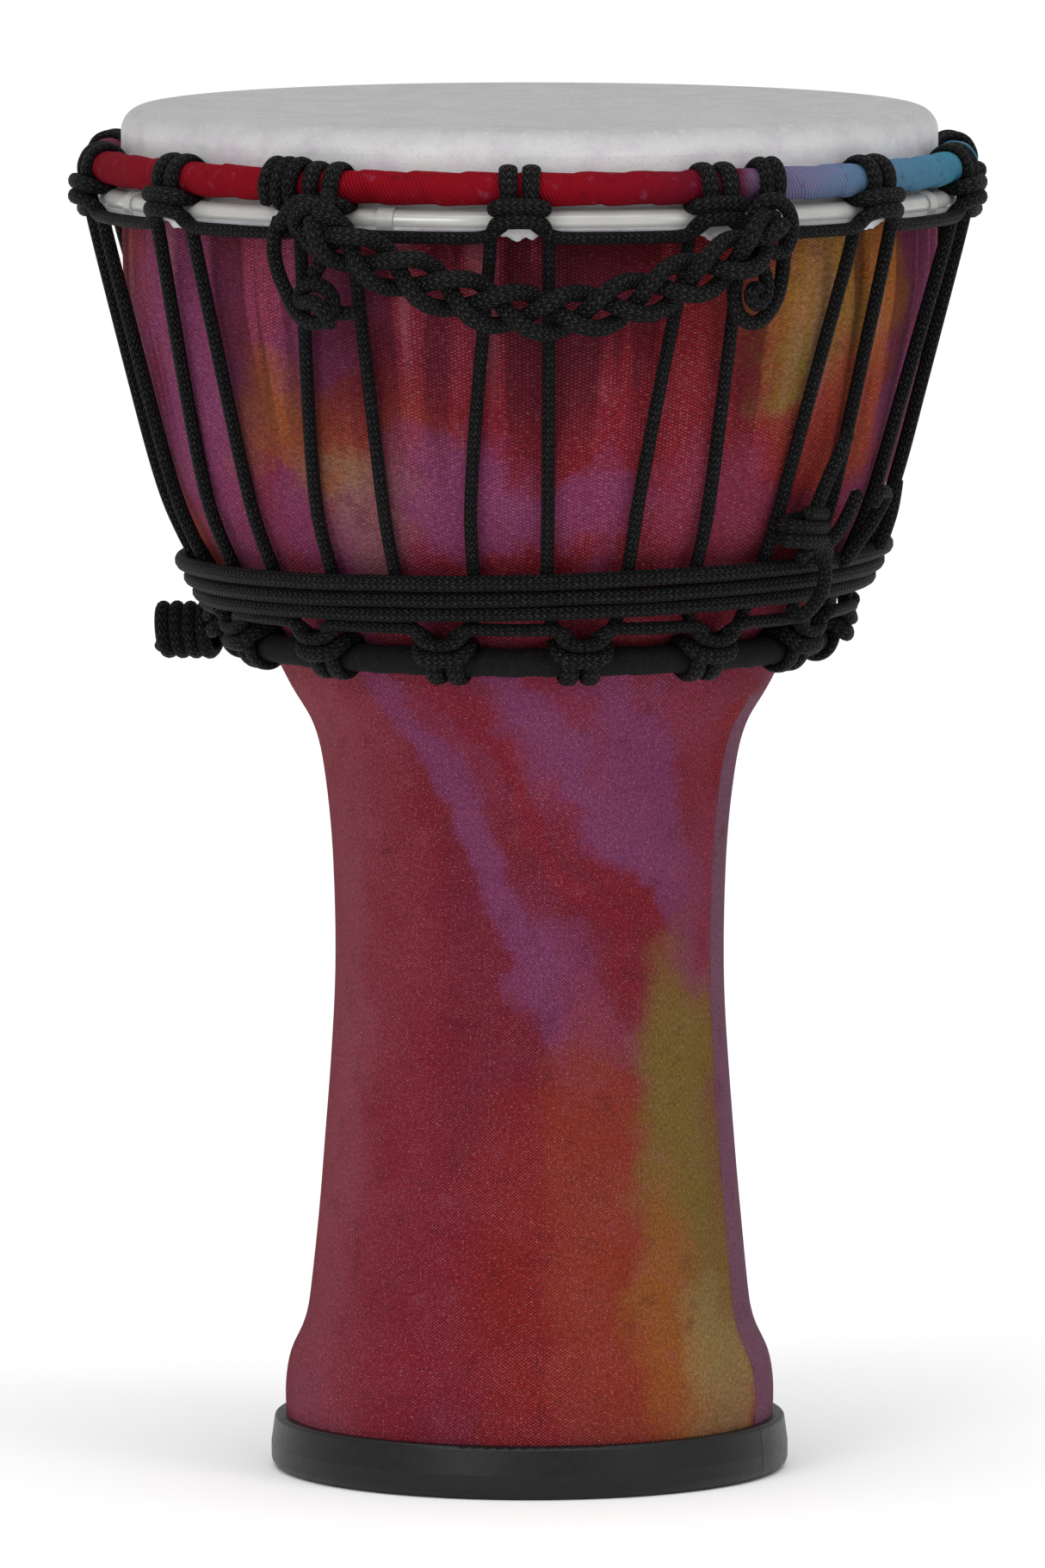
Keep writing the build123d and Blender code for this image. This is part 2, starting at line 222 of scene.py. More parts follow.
class Graph:
    """Shader nodes of one material, added from left to right."""

    def __init__(self, name: str) -> None:
        """Starts an empty node material with an output."""
        self.material = bpy.data.materials.new(name)
        self.material.use_nodes = True
        self.tree = self.material.node_tree
        self.tree.nodes.clear()
        self.output = self.tree.nodes.new("ShaderNodeOutputMaterial")

    def add(self, kind: str, **settings: object) -> bpy.types.Node:
        """New node with its settings.

        Args:
            kind: node type.
            settings: properties to set on it.

        Returns:
            The node.
        """
        node = self.tree.nodes.new(kind)
        for key, value in settings.items():
            setattr(node, key, value)
        return node

    def feed(self, socket: Socket, value: object) -> None:
        """Links a socket, or sets a constant on it.

        Args:
            socket: input to feed.
            value: another socket, or a constant.
        """
        if isinstance(value, bpy.types.NodeSocket):
            self.tree.links.new(value, socket)
        else:
            socket.default_value = value

    def maths(self, operation: str, first: Value, second: Value = 0.0, third: Value = 0.0) -> Socket:
        """Result of a math node.

        Args:
            operation: what it does.
            first: first value.
            second: second value.
            third: third value.

        Returns:
            Its result.
        """
        node = self.add("ShaderNodeMath", operation=operation)
        for socket, value in zip(node.inputs, (first, second, third)):
            self.feed(socket, value)
        return node.outputs[0]

    def times(self, first: Value, second: Value) -> Socket:
        """Product of two values."""
        return self.maths("MULTIPLY", first, second)

    def plus(self, first: Value, second: Value) -> Socket:
        """Sum of two values."""
        return self.maths("ADD", first, second)

    def less(self, first: Value, second: Value) -> Socket:
        """First value less the second."""
        return self.maths("SUBTRACT", first, second)

    def fit(self, value: Value, low: float, high: float, to_low: float, to_high: float) -> Socket:
        """Value carried smoothly from one range to another, and clamped.

        Args:
            value: value to carry.
            low: start of its range.
            high: end of its range.
            to_low: result at low.
            to_high: result at high.

        Returns:
            The result.
        """
        node = self.add("ShaderNodeMapRange", interpolation_type="SMOOTHSTEP")
        for socket, entry in zip(node.inputs, (value, low, high, to_low, to_high)):
            self.feed(socket, entry)
        return node.outputs[0]

    def mix(self, share: Value, first: object, second: object, blend: str = "MIX") -> Socket:
        """Two colours mixed.

        Args:
            share: share of the second.
            first: first colour.
            second: second colour.
            blend: how they are mixed.

        Returns:
            The colour.
        """
        node = self.add("ShaderNodeMix", data_type="RGBA", blend_type=blend)
        self.feed(node.inputs[0], share)
        self.feed(node.inputs[6], first)
        self.feed(node.inputs[7], second)
        return node.outputs[2]

    def place(self) -> Socket:
        """Object coordinates."""
        return self.add("ShaderNodeTexCoord").outputs["Object"]

    def axes(self) -> tuple[Socket, Socket, Socket]:
        """Object coordinates, one by one.

        Returns:
            X, Y and Z.
        """
        node = self.add("ShaderNodeSeparateXYZ")
        self.feed(node.inputs[0], self.place())
        return node.outputs[0], node.outputs[1], node.outputs[2]

    def turn(self, x: Value, y: Value) -> Socket:
        """Azimuth in radians from the front."""
        return self.maths("ARCTAN2", x, self.times(y, -1.0))

    def uv(self) -> tuple[Socket, Socket]:
        """The two UV coordinates.

        Returns:
            Way round and way along, in metres or turns.
        """
        node = self.add("ShaderNodeSeparateXYZ")
        self.feed(node.inputs[0], self.add("ShaderNodeTexCoord").outputs["UV"])
        return node.outputs[0], node.outputs[1]

    def join(self, x: Value, y: Value, z: Value = 0.0) -> Socket:
        """Vector from three values.

        Args:
            x: first value.
            y: second value.
            z: third value.

        Returns:
            The vector.
        """
        node = self.add("ShaderNodeCombineXYZ")
        for socket, value in zip(node.inputs, (x, y, z)):
            self.feed(socket, value)
        return node.outputs[0]

    def noise(self, place: Socket, scale: float, detail: float = 3.0, rough: float = 0.5) -> Socket:
        """Noise value at a place.

        Args:
            place: where it is read.
            scale: how fine it is.
            detail: octaves.
            rough: weight of the finer octaves.

        Returns:
            The value, about 0.5 in the middle.
        """
        node = self.add("ShaderNodeTexNoise")
        self.feed(node.inputs["Vector"], place)
        self.feed(node.inputs["Scale"], scale)
        self.feed(node.inputs["Detail"], detail)
        self.feed(node.inputs["Roughness"], rough)
        return node.outputs["Fac"]

    def ramp(self, share: Socket, stops: Sequence[tuple[float, Colour]]) -> Socket:
        """Colour ramp.

        Args:
            share: place on the ramp.
            stops: position and colour of each stop.

        Returns:
            The colour.
        """
        node = self.add("ShaderNodeValToRGB")
        self.feed(node.inputs[0], share)
        while len(node.color_ramp.elements) < len(stops):
            node.color_ramp.elements.new(0.5)
        for element, (position, colour) in zip(node.color_ramp.elements, stops):
            element.position = position
            element.color = colour
        return node.outputs[0]

    def bump(self, height: Socket, depth: float, strength: float = 1.0) -> Socket:
        """Normal raised by a height, whose full step is depth metres.

        Args:
            height: height at each place.
            depth: depth of a full step.
            strength: weight of the bump.

        Returns:
            The normal.
        """
        node = self.add("ShaderNodeBump")
        self.feed(node.inputs["Strength"], strength)
        self.feed(node.inputs["Distance"], depth)
        self.feed(node.inputs["Height"], height)
        return node.outputs[0]

    def surface(self, tone: object, rough: Value, relief: Socket | None = None, **others: float) -> Material:
        """Principled surface.

        Args:
            tone: colour.
            rough: roughness.
            relief: bumped normal, if any.
            others: more inputs, by name with _ for each space.

        Returns:
            The finished material.
        """
        node = self.add("ShaderNodeBsdfPrincipled")
        self.feed(node.inputs["Base Color"], tone)
        self.feed(node.inputs["Roughness"], rough)
        for key, value in others.items():
            self.feed(node.inputs[key.replace("_", " ")], value)
        if relief is not None:
            self.feed(node.inputs["Normal"], relief)
        self.tree.links.new(node.outputs[0], self.output.inputs[0])
        return self.material


@dataclass(frozen=True)
class RopeFinish:
    """Black braided polyester rope whose crests carry paler worn fuzz and a painted sheen.

    Args:
        columns: herringbone columns round the rope.
        stitch: length of one braid stitch, in metres.
    """

    columns: float = 8.0
    stitch: float = 0.0019

    def build(self) -> Material:
        """Makes the rope material from the tube's UV coordinates.

        Returns:
            The material.
        """
        graph = Graph("black_braided_rope")
        around, along = graph.uv()
        column = graph.maths("FRACT", graph.times(around, self.columns))
        slope = graph.maths("ABSOLUTE", graph.less(column, 0.5))
        stitch = graph.times(along, 1.0 / self.stitch)
        phase = graph.maths("FRACT", graph.plus(stitch, graph.times(slope, 1.5)))
        crest = graph.maths("SINE", graph.times(phase, math.pi))
        edge = graph.fit(slope, 0.38, 0.5, 1.0, 0.25)
        yarn = graph.times(crest, edge)
        fuzz = graph.noise(graph.place(), 2600.0, 2.0, 0.7)
        wear_and_sheen = graph.fit(fuzz, 0.42, 0.7, 0.0, 1.0)
        # Grey on the braid's crests in patches: partly paler worn fuzz, partly painted sheen.
        crest_fleck_and_sheen = graph.times(graph.fit(yarn, 0.45, 1.0, 0.0, 1.0), wear_and_sheen)
        tone = graph.mix(crest_fleck_and_sheen, srgb(8, 8, 8), srgb(62, 60, 63))
        height = graph.plus(yarn, graph.times(fuzz, 0.35))
        return graph.surface(tone, 0.6, graph.bump(height, 0.0006), Specular_IOR_Level=0.08)


class Dye(Enum):
    """Colours of the tie-dyed cloth."""

    WINE = srgb(104, 26, 42)
    ROSE = srgb(132, 62, 76)
    CRIMSON = srgb(116, 22, 36)
    DARK = srgb(84, 18, 28)
    RED = srgb(120, 26, 20)
    MAGENTA = srgb(118, 44, 70)
    VIOLET = srgb(112, 52, 92)
    GREY = srgb(112, 76, 92)
    RUST = srgb(128, 48, 26)
    ORANGE = srgb(136, 74, 24)
    GOLD = srgb(134, 100, 30)
    OLIVE = srgb(108, 92, 34)
    PALE = srgb(138, 122, 76)


@dataclass(frozen=True)
class Patch:
    """One dyed patch of cloth.

    Args:
        azimuth: middle of the patch, in degrees.
        height: middle of the patch, in millimetres.
        width: half width in degrees.
        rise: half height in millimetres.
        dye: its colour.
        share: how strongly it covers what is under it.
        lean: degrees the patch drifts for each millimetre it drops.
    """

    azimuth: float
    height: float
    width: float
    rise: float
    dye: Dye
    share: float = 0.9
    lean: float = 0.0


PATCHES = (
    Patch(-10, 120, 70, 150, Dye.WINE, 0.85),
    Patch(-62, 110, 26, 150, Dye.ROSE, 0.75),
    Patch(-36, 60, 20, 60, Dye.CRIMSON, 0.7),
    Patch(-40, 150, 14, 60, Dye.CRIMSON, 0.6),
    Patch(12, 214, 46, 22, Dye.MAGENTA, 0.75),
    Patch(20, 195, 9, 52, Dye.VIOLET, 0.9, 0.79),
    Patch(36, 196, 9, 44, Dye.VIOLET, 0.8, 0.5),
    Patch(-14, 178, 6, 62, Dye.VIOLET, 0.85, 0.44),
    Patch(14, 140, 10, 26, Dye.VIOLET, 0.6, 0.6),
    Patch(4, 186, 4, 48, Dye.CRIMSON, 0.85, 0.6),
    Patch(28, 168, 5, 36, Dye.CRIMSON, 0.6, 0.6),
    Patch(2, 60, 20, 44, Dye.RED, 0.9),
    Patch(18, 96, 14, 40, Dye.RUST, 0.7),
    Patch(26, 52, 16, 44, Dye.RUST, 0.85),
    Patch(50, 118, 16, 34, Dye.OLIVE, 0.95),
    Patch(42, 86, 13, 40, Dye.OLIVE, 0.75),
    Patch(54, 58, 20, 40, Dye.OLIVE, 0.85),
    Patch(40, 44, 12, 34, Dye.ORANGE, 0.85),
    Patch(56, 30, 12, 22, Dye.PALE, 0.55),
    Patch(56, 170, 12, 24, Dye.MAGENTA, 0.7),
    Patch(90, 110, 20, 150, Dye.GREY, 0.9),
    Patch(-4, 300, 60, 56, Dye.CRIMSON, 0.8),
    Patch(-46, 330, 18, 44, Dye.MAGENTA, 0.9),
    Patch(-62, 310, 14, 60, Dye.VIOLET, 0.85),
    Patch(-31, 318, 7, 40, Dye.VIOLET, 0.7),
    Patch(-38, 300, 12, 14, Dye.ORANGE, 0.85),
    Patch(-22, 300, 12, 12, Dye.RUST, 0.8),
    Patch(-28, 278, 9, 14, Dye.PALE, 0.5),
    Patch(-36, 268, 12, 14, Dye.VIOLET, 0.7),
    Patch(-12, 282, 12, 16, Dye.VIOLET, 0.85),
    Patch(8, 280, 12, 10, Dye.VIOLET, 0.7),
    Patch(-14, 336, 12, 30, Dye.WINE, 0.7),
    Patch(4, 330, 9, 30, Dye.DARK, 0.6),
    Patch(34, 276, 14, 16, Dye.MAGENTA, 0.75),
    Patch(50, 334, 15, 34, Dye.GOLD, 0.95),
    Patch(46, 312, 11, 18, Dye.OLIVE, 0.8),
    Patch(60, 336, 6, 40, Dye.ORANGE, 0.8),
    Patch(58, 302, 12, 18, Dye.RUST, 0.9),
    Patch(45, 296, 10, 12, Dye.RED, 0.85),
    Patch(76, 320, 9, 50, Dye.VIOLET, 0.8),
    Patch(130, 300, 24, 60, Dye.GOLD, 0.6),
    Patch(160, 90, 26, 80, Dye.ORANGE, 0.6),
    Patch(-120, 80, 26, 80, Dye.OLIVE, 0.6),
    Patch(-150, 310, 22, 50, Dye.ROSE, 0.7),
    Patch(172, 200, 30, 40, Dye.VIOLET, 0.7),
)


@dataclass(frozen=True)
class TieDyeFinish:
    """Printed tie-dye cotton: soft patches, bleeding edges, weave and stray pale threads, with painted shade
    in pleat valleys, in the fine grain and along the lap's edge, and painted highlight on pleat ridges and
    partly on the weave's knots.
    """

    patches: tuple[Patch, ...] = PATCHES

    def _wander(self, graph: Graph, offset: float, reach: float) -> Socket:
        """Slow noise from minus reach to plus reach, different for each offset.

        Args:
            graph: material's graph.
            offset: shift of the noise.
            reach: greatest value.

        Returns:
            The noise.
        """
        place = graph.add("ShaderNodeVectorMath", operation="ADD")
        graph.feed(place.inputs[0], graph.place())
        graph.feed(place.inputs[1], (offset, offset * 0.7, -offset))
        value = graph.noise(place.outputs[0], 34.0, 5.0, 0.62)
        return graph.times(graph.less(value, 0.5), 2.0 * reach)

    def _cover(self, graph: Graph, patch: Patch, azimuth: Socket, height: Socket) -> Socket:
        """How much of a patch shows at a place.

        Args:
            graph: material's graph.
            patch: dyed patch.
            azimuth: azimuth, in degrees.
            height: height, in millimetres.

        Returns:
            Share from 0 to the patch's own.
        """
        away = graph.less(azimuth, patch.azimuth)
        if patch.lean:
            drop = graph.less(height, patch.height)
            away = graph.plus(away, graph.times(drop, patch.lean))
        away = graph.maths("WRAP", away, 180.0, -180.0)
        away = graph.maths("DIVIDE", away, patch.width)
        rise = graph.maths("DIVIDE", graph.less(height, patch.height), patch.rise)
        spread = graph.plus(graph.times(away, away), graph.times(rise, rise))
        return graph.fit(spread, 0.0, 2.1, patch.share, 0.0)

    def build(self) -> Material:
        """Makes the cloth material from Object and UV coordinates.

        Returns:
            The material.
        """
        graph = Graph("tie_dye_cotton")
        x, y, z = graph.axes()
        level = graph.times(graph.turn(x, y), 180.0 / math.pi)
        azimuth = graph.plus(level, self._wander(graph, 0.3, 14.0))
        height = graph.plus(graph.times(z, 1000.0), self._wander(graph, 0.9, 30.0))
        base = graph.noise(graph.place(), 16.0, 4.0, 0.6)
        tone = graph.ramp(
            base,
            (
                (0.30, Dye.VIOLET.value),
                (0.44, Dye.WINE.value),
                (0.56, Dye.RED.value),
                (0.70, Dye.RUST.value),
            ),
        )
        for patch in self.patches:
            tone = graph.mix(self._cover(graph, patch, azimuth, height), tone, patch.dye.value)
        stem = graph.fit(z, 0.222, 0.219, 0.0, 1.0)
        past_lap = graph.fit(level, LAP + 0.6, LAP + 1.4, 0.0, 1.0)
        beyond = graph.times(past_lap, graph.fit(level, 150.0, 110.0, 0.0, 1.0))
        tone = graph.mix(graph.times(beyond, graph.times(stem, 0.85)), tone, srgb(104, 70, 92))
        # Painted shade: a dark line along the lap's edge on the stem, where the overlapping cloth shades the
        # layer below.
        off = graph.maths("ABSOLUTE", graph.less(level, LAP + 0.4))
        lap_edge_shade = graph.times(graph.fit(off, 0.9, 0.2, 0.0, 0.85), stem)
        tone = graph.mix(lap_edge_shade, tone, srgb(38, 12, 20))
        bleed = graph.noise(graph.place(), 120.0, 5.0, 0.65)
        tone = graph.mix(graph.fit(bleed, 0.55, 0.75, 0.0, 0.25), tone, srgb(142, 70, 86))
        tone = graph.mix(graph.fit(bleed, 0.46, 0.28, 0.0, 0.35), tone, srgb(64, 12, 24))
        around, along = graph.uv()
        weft = graph.maths("SINE", graph.times(along, TAU / 0.00092))
        warp = graph.maths("SINE", graph.times(around, TAU / 0.0017))
        weave = graph.times(weft, warp)
        knots = graph.fit(weave, 0.25, 0.9, 0.0, 1.0)
        wear_and_sheen = graph.fit(graph.noise(graph.place(), 48.0, 3.0, 0.6), 0.34, 0.62, 0.22, 0.62)
        broken = graph.fit(graph.noise(graph.join(around, along, 0.9), 700.0, 3.0, 0.7), 0.35, 0.62, 0.2, 1.0)
        wear_and_sheen = graph.times(wear_and_sheen, broken)
        # Paler weave knots in patches: partly worn threads, partly painted highlight on the raised knots.
        tone = graph.mix(graph.times(knots, wear_and_sheen), tone, srgb(172, 112, 124))
        slub = graph.noise(graph.join(graph.times(around, 0.35), along), 2400.0, 2.0, 0.6)
        fleck = graph.times(graph.fit(slub, 0.58, 0.72, 0.0, 1.0), 0.55)
        tone = graph.mix(fleck, tone, srgb(176, 128, 122))
        fold = graph.add("ShaderNodeAttribute", attribute_name="fold").outputs["Fac"]
        # Painted shade in the pleats' valleys and painted highlight on their ridges, read from the pleat
        # heights in the fold layer.
        tone = graph.mix(graph.fit(fold, 0.02, -0.26, 0.0, 0.55), tone, srgb(40, 10, 20))
        tone = graph.mix(graph.fit(fold, 0.15, 0.5, 0.0, 0.18), tone, srgb(176, 120, 128))
        grain = graph.noise(graph.join(around, along, 0.4), 900.0, 3.0, 0.7)
        # Painted shade in the low spots of the fine grain, which the bump below also sinks.
        tone = graph.mix(graph.fit(grain, 0.35, 0.65, 0.4, 0.0), tone, srgb(44, 8, 16))
        relief = graph.plus(graph.times(weave, 0.5), graph.times(grain, 1.6))
        return graph.surface(tone, 0.86, graph.bump(relief, 0.00018), Specular_IOR_Level=0.05)


@dataclass(frozen=True)
class CrownClothFinish:
    """Cloth strip wound round the crown ring, dyed from wine to blue along its length, with painted shade in
    the grooves between its ribs.
    """

    def build(self) -> Material:
        """Makes the strip material.

        Returns:
            The material.
        """
        graph = Graph("crown_ring_cotton")
        x, y, _ = graph.axes()
        turn = graph.turn(x, y)
        drift = graph.less(graph.noise(graph.place(), 60.0, 4.0, 0.6), 0.5)
        spot = graph.plus(graph.maths("DIVIDE", turn, TAU), 0.5)
        spot = graph.plus(spot, graph.times(drift, 0.035))
        tone = graph.ramp(
            spot,
            (
                (0.00, srgb(58, 106, 130)),
                (0.16, srgb(104, 72, 104)),
                (0.27, srgb(104, 18, 30)),
                (0.40, srgb(124, 10, 22)),
                (0.52, srgb(122, 10, 22)),
                (0.555, srgb(104, 14, 30)),
                (0.572, srgb(86, 14, 32)),
                (0.592, srgb(104, 96, 128)),
                (0.63, srgb(84, 112, 140)),
                (0.70, srgb(58, 118, 142)),
                (1.00, srgb(58, 106, 130)),
            ),
        )
        stain = graph.noise(graph.place(), 260.0, 4.0, 0.65)
        tone = graph.mix(graph.fit(stain, 0.58, 0.76, 0.0, 0.3), tone, srgb(134, 90, 122))
        tone = graph.mix(graph.fit(stain, 0.44, 0.28, 0.0, 0.35), tone, srgb(52, 8, 20))
        around, along = graph.uv()
        slant = graph.plus(around, graph.times(along, 0.45))
        rib = graph.maths("SINE", graph.times(slant, TAU / 0.00105))
        grain = graph.noise(graph.join(around, along, 0.2), 1500.0, 3.0, 0.7)
        # Painted shade in the grooves between the strip's slanted ribs.
        painted_fold_shading = graph.fit(rib, 0.1, -0.9, 0.0, 0.3)
        tone = graph.mix(painted_fold_shading, tone, srgb(40, 12, 26))
        relief = graph.plus(graph.times(rib, 0.6), grain)
        return graph.surface(tone, 0.8, graph.bump(relief, 0.00022), Specular_IOR_Level=0.03)


@dataclass(frozen=True)
class PlainFinish:
    """One colour with fine mottling and relief.

    Args:
        name: material name.
        tone: main colour.
        shade: colour of the mottling.
        rough: roughness.
        grain: size of the mottling as a noise scale.
        relief: depth of the relief in metres.
        metal: metallic share.
        coat: weight of a clear coat.
        shine: specular level.
    """

    name: str
    tone: Colour
    shade: Colour
    rough: float = 0.5
    grain: float = 300.0
    relief: float = 0.00005
    metal: float = 0.0
    coat: float = 0.0
    shine: float = 0.5

    def build(self) -> Material:
        """Makes the material from Object coordinates.

        Returns:
            The material.
        """
        graph = Graph(self.name)
        mottle = graph.noise(graph.place(), self.grain, 5.0, 0.6)
        fine = graph.noise(graph.place(), self.grain * 7.0, 3.0, 0.6)
        tone = graph.mix(graph.fit(mottle, 0.35, 0.65, 0.0, 1.0), self.tone, self.shade)
        height = graph.plus(mottle, graph.times(fine, 0.4))
        rough = graph.fit(mottle, 0.3, 0.7, self.rough * 0.92, min(1.0, self.rough * 1.1))
        return graph.surface(
            tone,
            rough,
            graph.bump(height, self.relief),
            Metallic=self.metal,
            Coat_Weight=self.coat,
            Coat_Roughness=0.12,
            Specular_IOR_Level=self.shine,
        )


@dataclass(frozen=True)
class FilmFinish:
    """Milky drum film with pressed fibres."""

    def build(self) -> Material:
        """Makes the film material from Object coordinates.

        Returns:
            The material.
        """
        graph = Graph("milky_fibre_film")
        stretch = graph.add("ShaderNodeMapping")
        graph.feed(stretch.inputs["Vector"], graph.place())
        stretch.inputs["Rotation"].default_value = (0.0, 0.0, 0.6)
        stretch.inputs["Scale"].default_value = (1.0, 0.22, 1.0)
        fibres = graph.noise(stretch.outputs[0], 700.0, 5.0, 0.7)
        clouds = graph.noise(graph.place(), 90.0, 4.0, 0.6)
        specks = graph.noise(graph.place(), 1500.0, 3.0, 0.65)
        tone = graph.mix(graph.fit(clouds, 0.35, 0.7, 0.0, 1.0), srgb(164, 163, 163), srgb(154, 153, 154))
        collar = graph.fit(graph.axes()[2], 0.3835, 0.376, 0.0, 1.0)
        tint = graph.fit(clouds, 0.42, 0.66, 0.0, 1.0)
        lavender = graph.mix(tint, srgb(204, 201, 201), srgb(194, 186, 194))
        tone = graph.mix(collar, tone, lavender)
        tone = graph.mix(graph.fit(fibres, 0.52, 0.7, 0.0, 0.6), tone, srgb(186, 185, 185))
        tone = graph.mix(graph.fit(specks, 0.56, 0.72, 0.0, 0.4), tone, srgb(142, 141, 143))
        height = graph.plus(fibres, graph.times(specks, 0.7))
        return graph.surface(
            tone,
            0.46,
            graph.bump(height, 0.00012),
            Specular_IOR_Level=0.4,
            Subsurface_Weight=0.12,
            Subsurface_Scale=0.003,
        )


class Finish(Protocol):
    """Anything that can make its own material."""

    def build(self) -> Material:
        """Makes the material."""


def dyed(finish: Finish) -> Material:
    """Palette field whose material is made with the palette."""
    return field(default_factory=finish.build)


@dataclass
class Palette:
    """Every material of the drum."""

    rope: Material = dyed(RopeFinish())
    cloth: Material = dyed(TieDyeFinish())
    crown: Material = dyed(CrownClothFinish())
    film: Material = dyed(FilmFinish())
    shell: Material = dyed(
        PlainFinish("moulded_shell_plastic", srgb(38, 38, 40), srgb(46, 46, 48), 0.55, 200.0, 0.00006)
    )
    rubber: Material = dyed(
        PlainFinish("satin_foot_rubber", srgb(11, 11, 12), srgb(16, 16, 17), 0.4, 380.0, 0.00005, shine=0.3)
    )
    hoop: Material = dyed(
        PlainFinish(
            "glossy_white_hoop", srgb(182, 181, 178), srgb(176, 175, 173), 0.22, 60.0, 0.00003, coat=0.5
        )
    )
    sleeve: Material = dyed(
        PlainFinish("pale_hoop_sleeve", srgb(176, 175, 173), srgb(166, 165, 164), 0.35, 300.0, 0.00004)
    )
    steel: Material = dyed(
        PlainFinish(
            "drawn_ring_steel", srgb(150, 150, 152), srgb(128, 128, 132), 0.34, 240.0, 0.00003, metal=1.0
        )
    )
    dark_cloth: Material = dyed(
        PlainFinish("black_ring_cotton", srgb(13, 12, 13), srgb(24, 23, 25), 0.85, 900.0, 0.00025, shine=0.1)
    )


# ---------------------------------------------------------------- mesh helpers


def spin_round(bm: Mesh, profile: Geometry, columns: int) -> None:
    """Spins a profile once round the drum's axis.

    Args:
        bm: bmesh that holds it.
        profile: its vertices and edges.
        columns: steps of the spin.
    """
    bmesh.ops.spin(
        bm, geom=profile, cent=(0, 0, 0), axis=(0, 0, 1), angle=TAU,
        steps=columns, use_merge=True, use_duplicate=False,
    )


def stand_up(bm: Mesh, rows: Sequence[tuple[float, float]]) -> Geometry:
    """Profile at the front, as vertices and the edges between them.

    Args:
        bm: bmesh to add to.
        rows: radius and height of each vertex, in millimetres.

    Returns:
        The vertices, then the edges.
    """
    verts = [bm.verts.new(at(0.0, radius, height)) for radius, height in rows]
    return verts + [bm.edges.new(pair) for pair in zip(verts, verts[1:])]


def make_object(name: str, bm: Mesh, material: Material) -> Piece:
    """Turns a bmesh into a smooth shaded object at the origin.

    Args:
        name: name of the piece.
        bm: its shape, which is freed.
        material: its finish.

    Returns:
        The piece.
    """
    bmesh.ops.recalc_face_normals(bm, faces=bm.faces)
    for face in bm.faces:
        face.smooth = True
    mesh = bpy.data.meshes.new(name)
    bm.to_mesh(mesh)
    bm.free()
    mesh.materials.append(material)
    made = bpy.data.objects.new(name, mesh)
    bpy.context.scene.collection.objects.link(made)
    return made


def settle(piece: Piece, body: Body, slot: Slot, *nodes: str) -> None:
    """Puts a piece on its body, in place of CAD nodes.

    Args:
        piece: piece to settle.
        body: body it rides on.
        slot: its material slot; not used.
        nodes: CAD nodes it stands for.
    """
    if nodes:
        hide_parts(*nodes)
    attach(piece, body.value)
    LOG.info("%s: %d faces", piece.name, len(piece.data.polygons))


def route(name: str, points: Sequence[Vector], closed: bool = False, steps: int = 8) -> list[Vector]:
    """Points along the smooth run of a NURBS spline.

    Args:
        name: name of the spline while it is read.
        points: control points.
        closed: whether the run is a loop.
        steps: points read for each control point.

    Returns:
        The points in order, in metres.
    """
    curve = bpy.data.curves.new(name, "CURVE")
    curve.dimensions = "3D"
    curve.resolution_u = steps
    spline = curve.splines.new("NURBS")
    spline.points.add(len(points) - 1)
    for knot, point in zip(spline.points, points):
        knot.co = (*point, 1.0)
    spline.order_u = 3
    spline.use_cyclic_u = closed
    spline.use_endpoint_u = not closed
    holder = bpy.data.objects.new(name, curve)
    mesh = bpy.data.meshes.new_from_object(holder)
    line = [vertex.co.copy() for vertex in mesh.vertices]
    bpy.data.objects.remove(holder)
    bpy.data.curves.remove(curve)
    bpy.data.meshes.remove(mesh)
    return line


@dataclass(frozen=True)
class Press:
    """How a rope is flattened at one point: toward a direction, with half sizes in millimetres."""

    toward: Vector
    thick: float
    wide: float


Pressing = Callable[[Vector], Press]


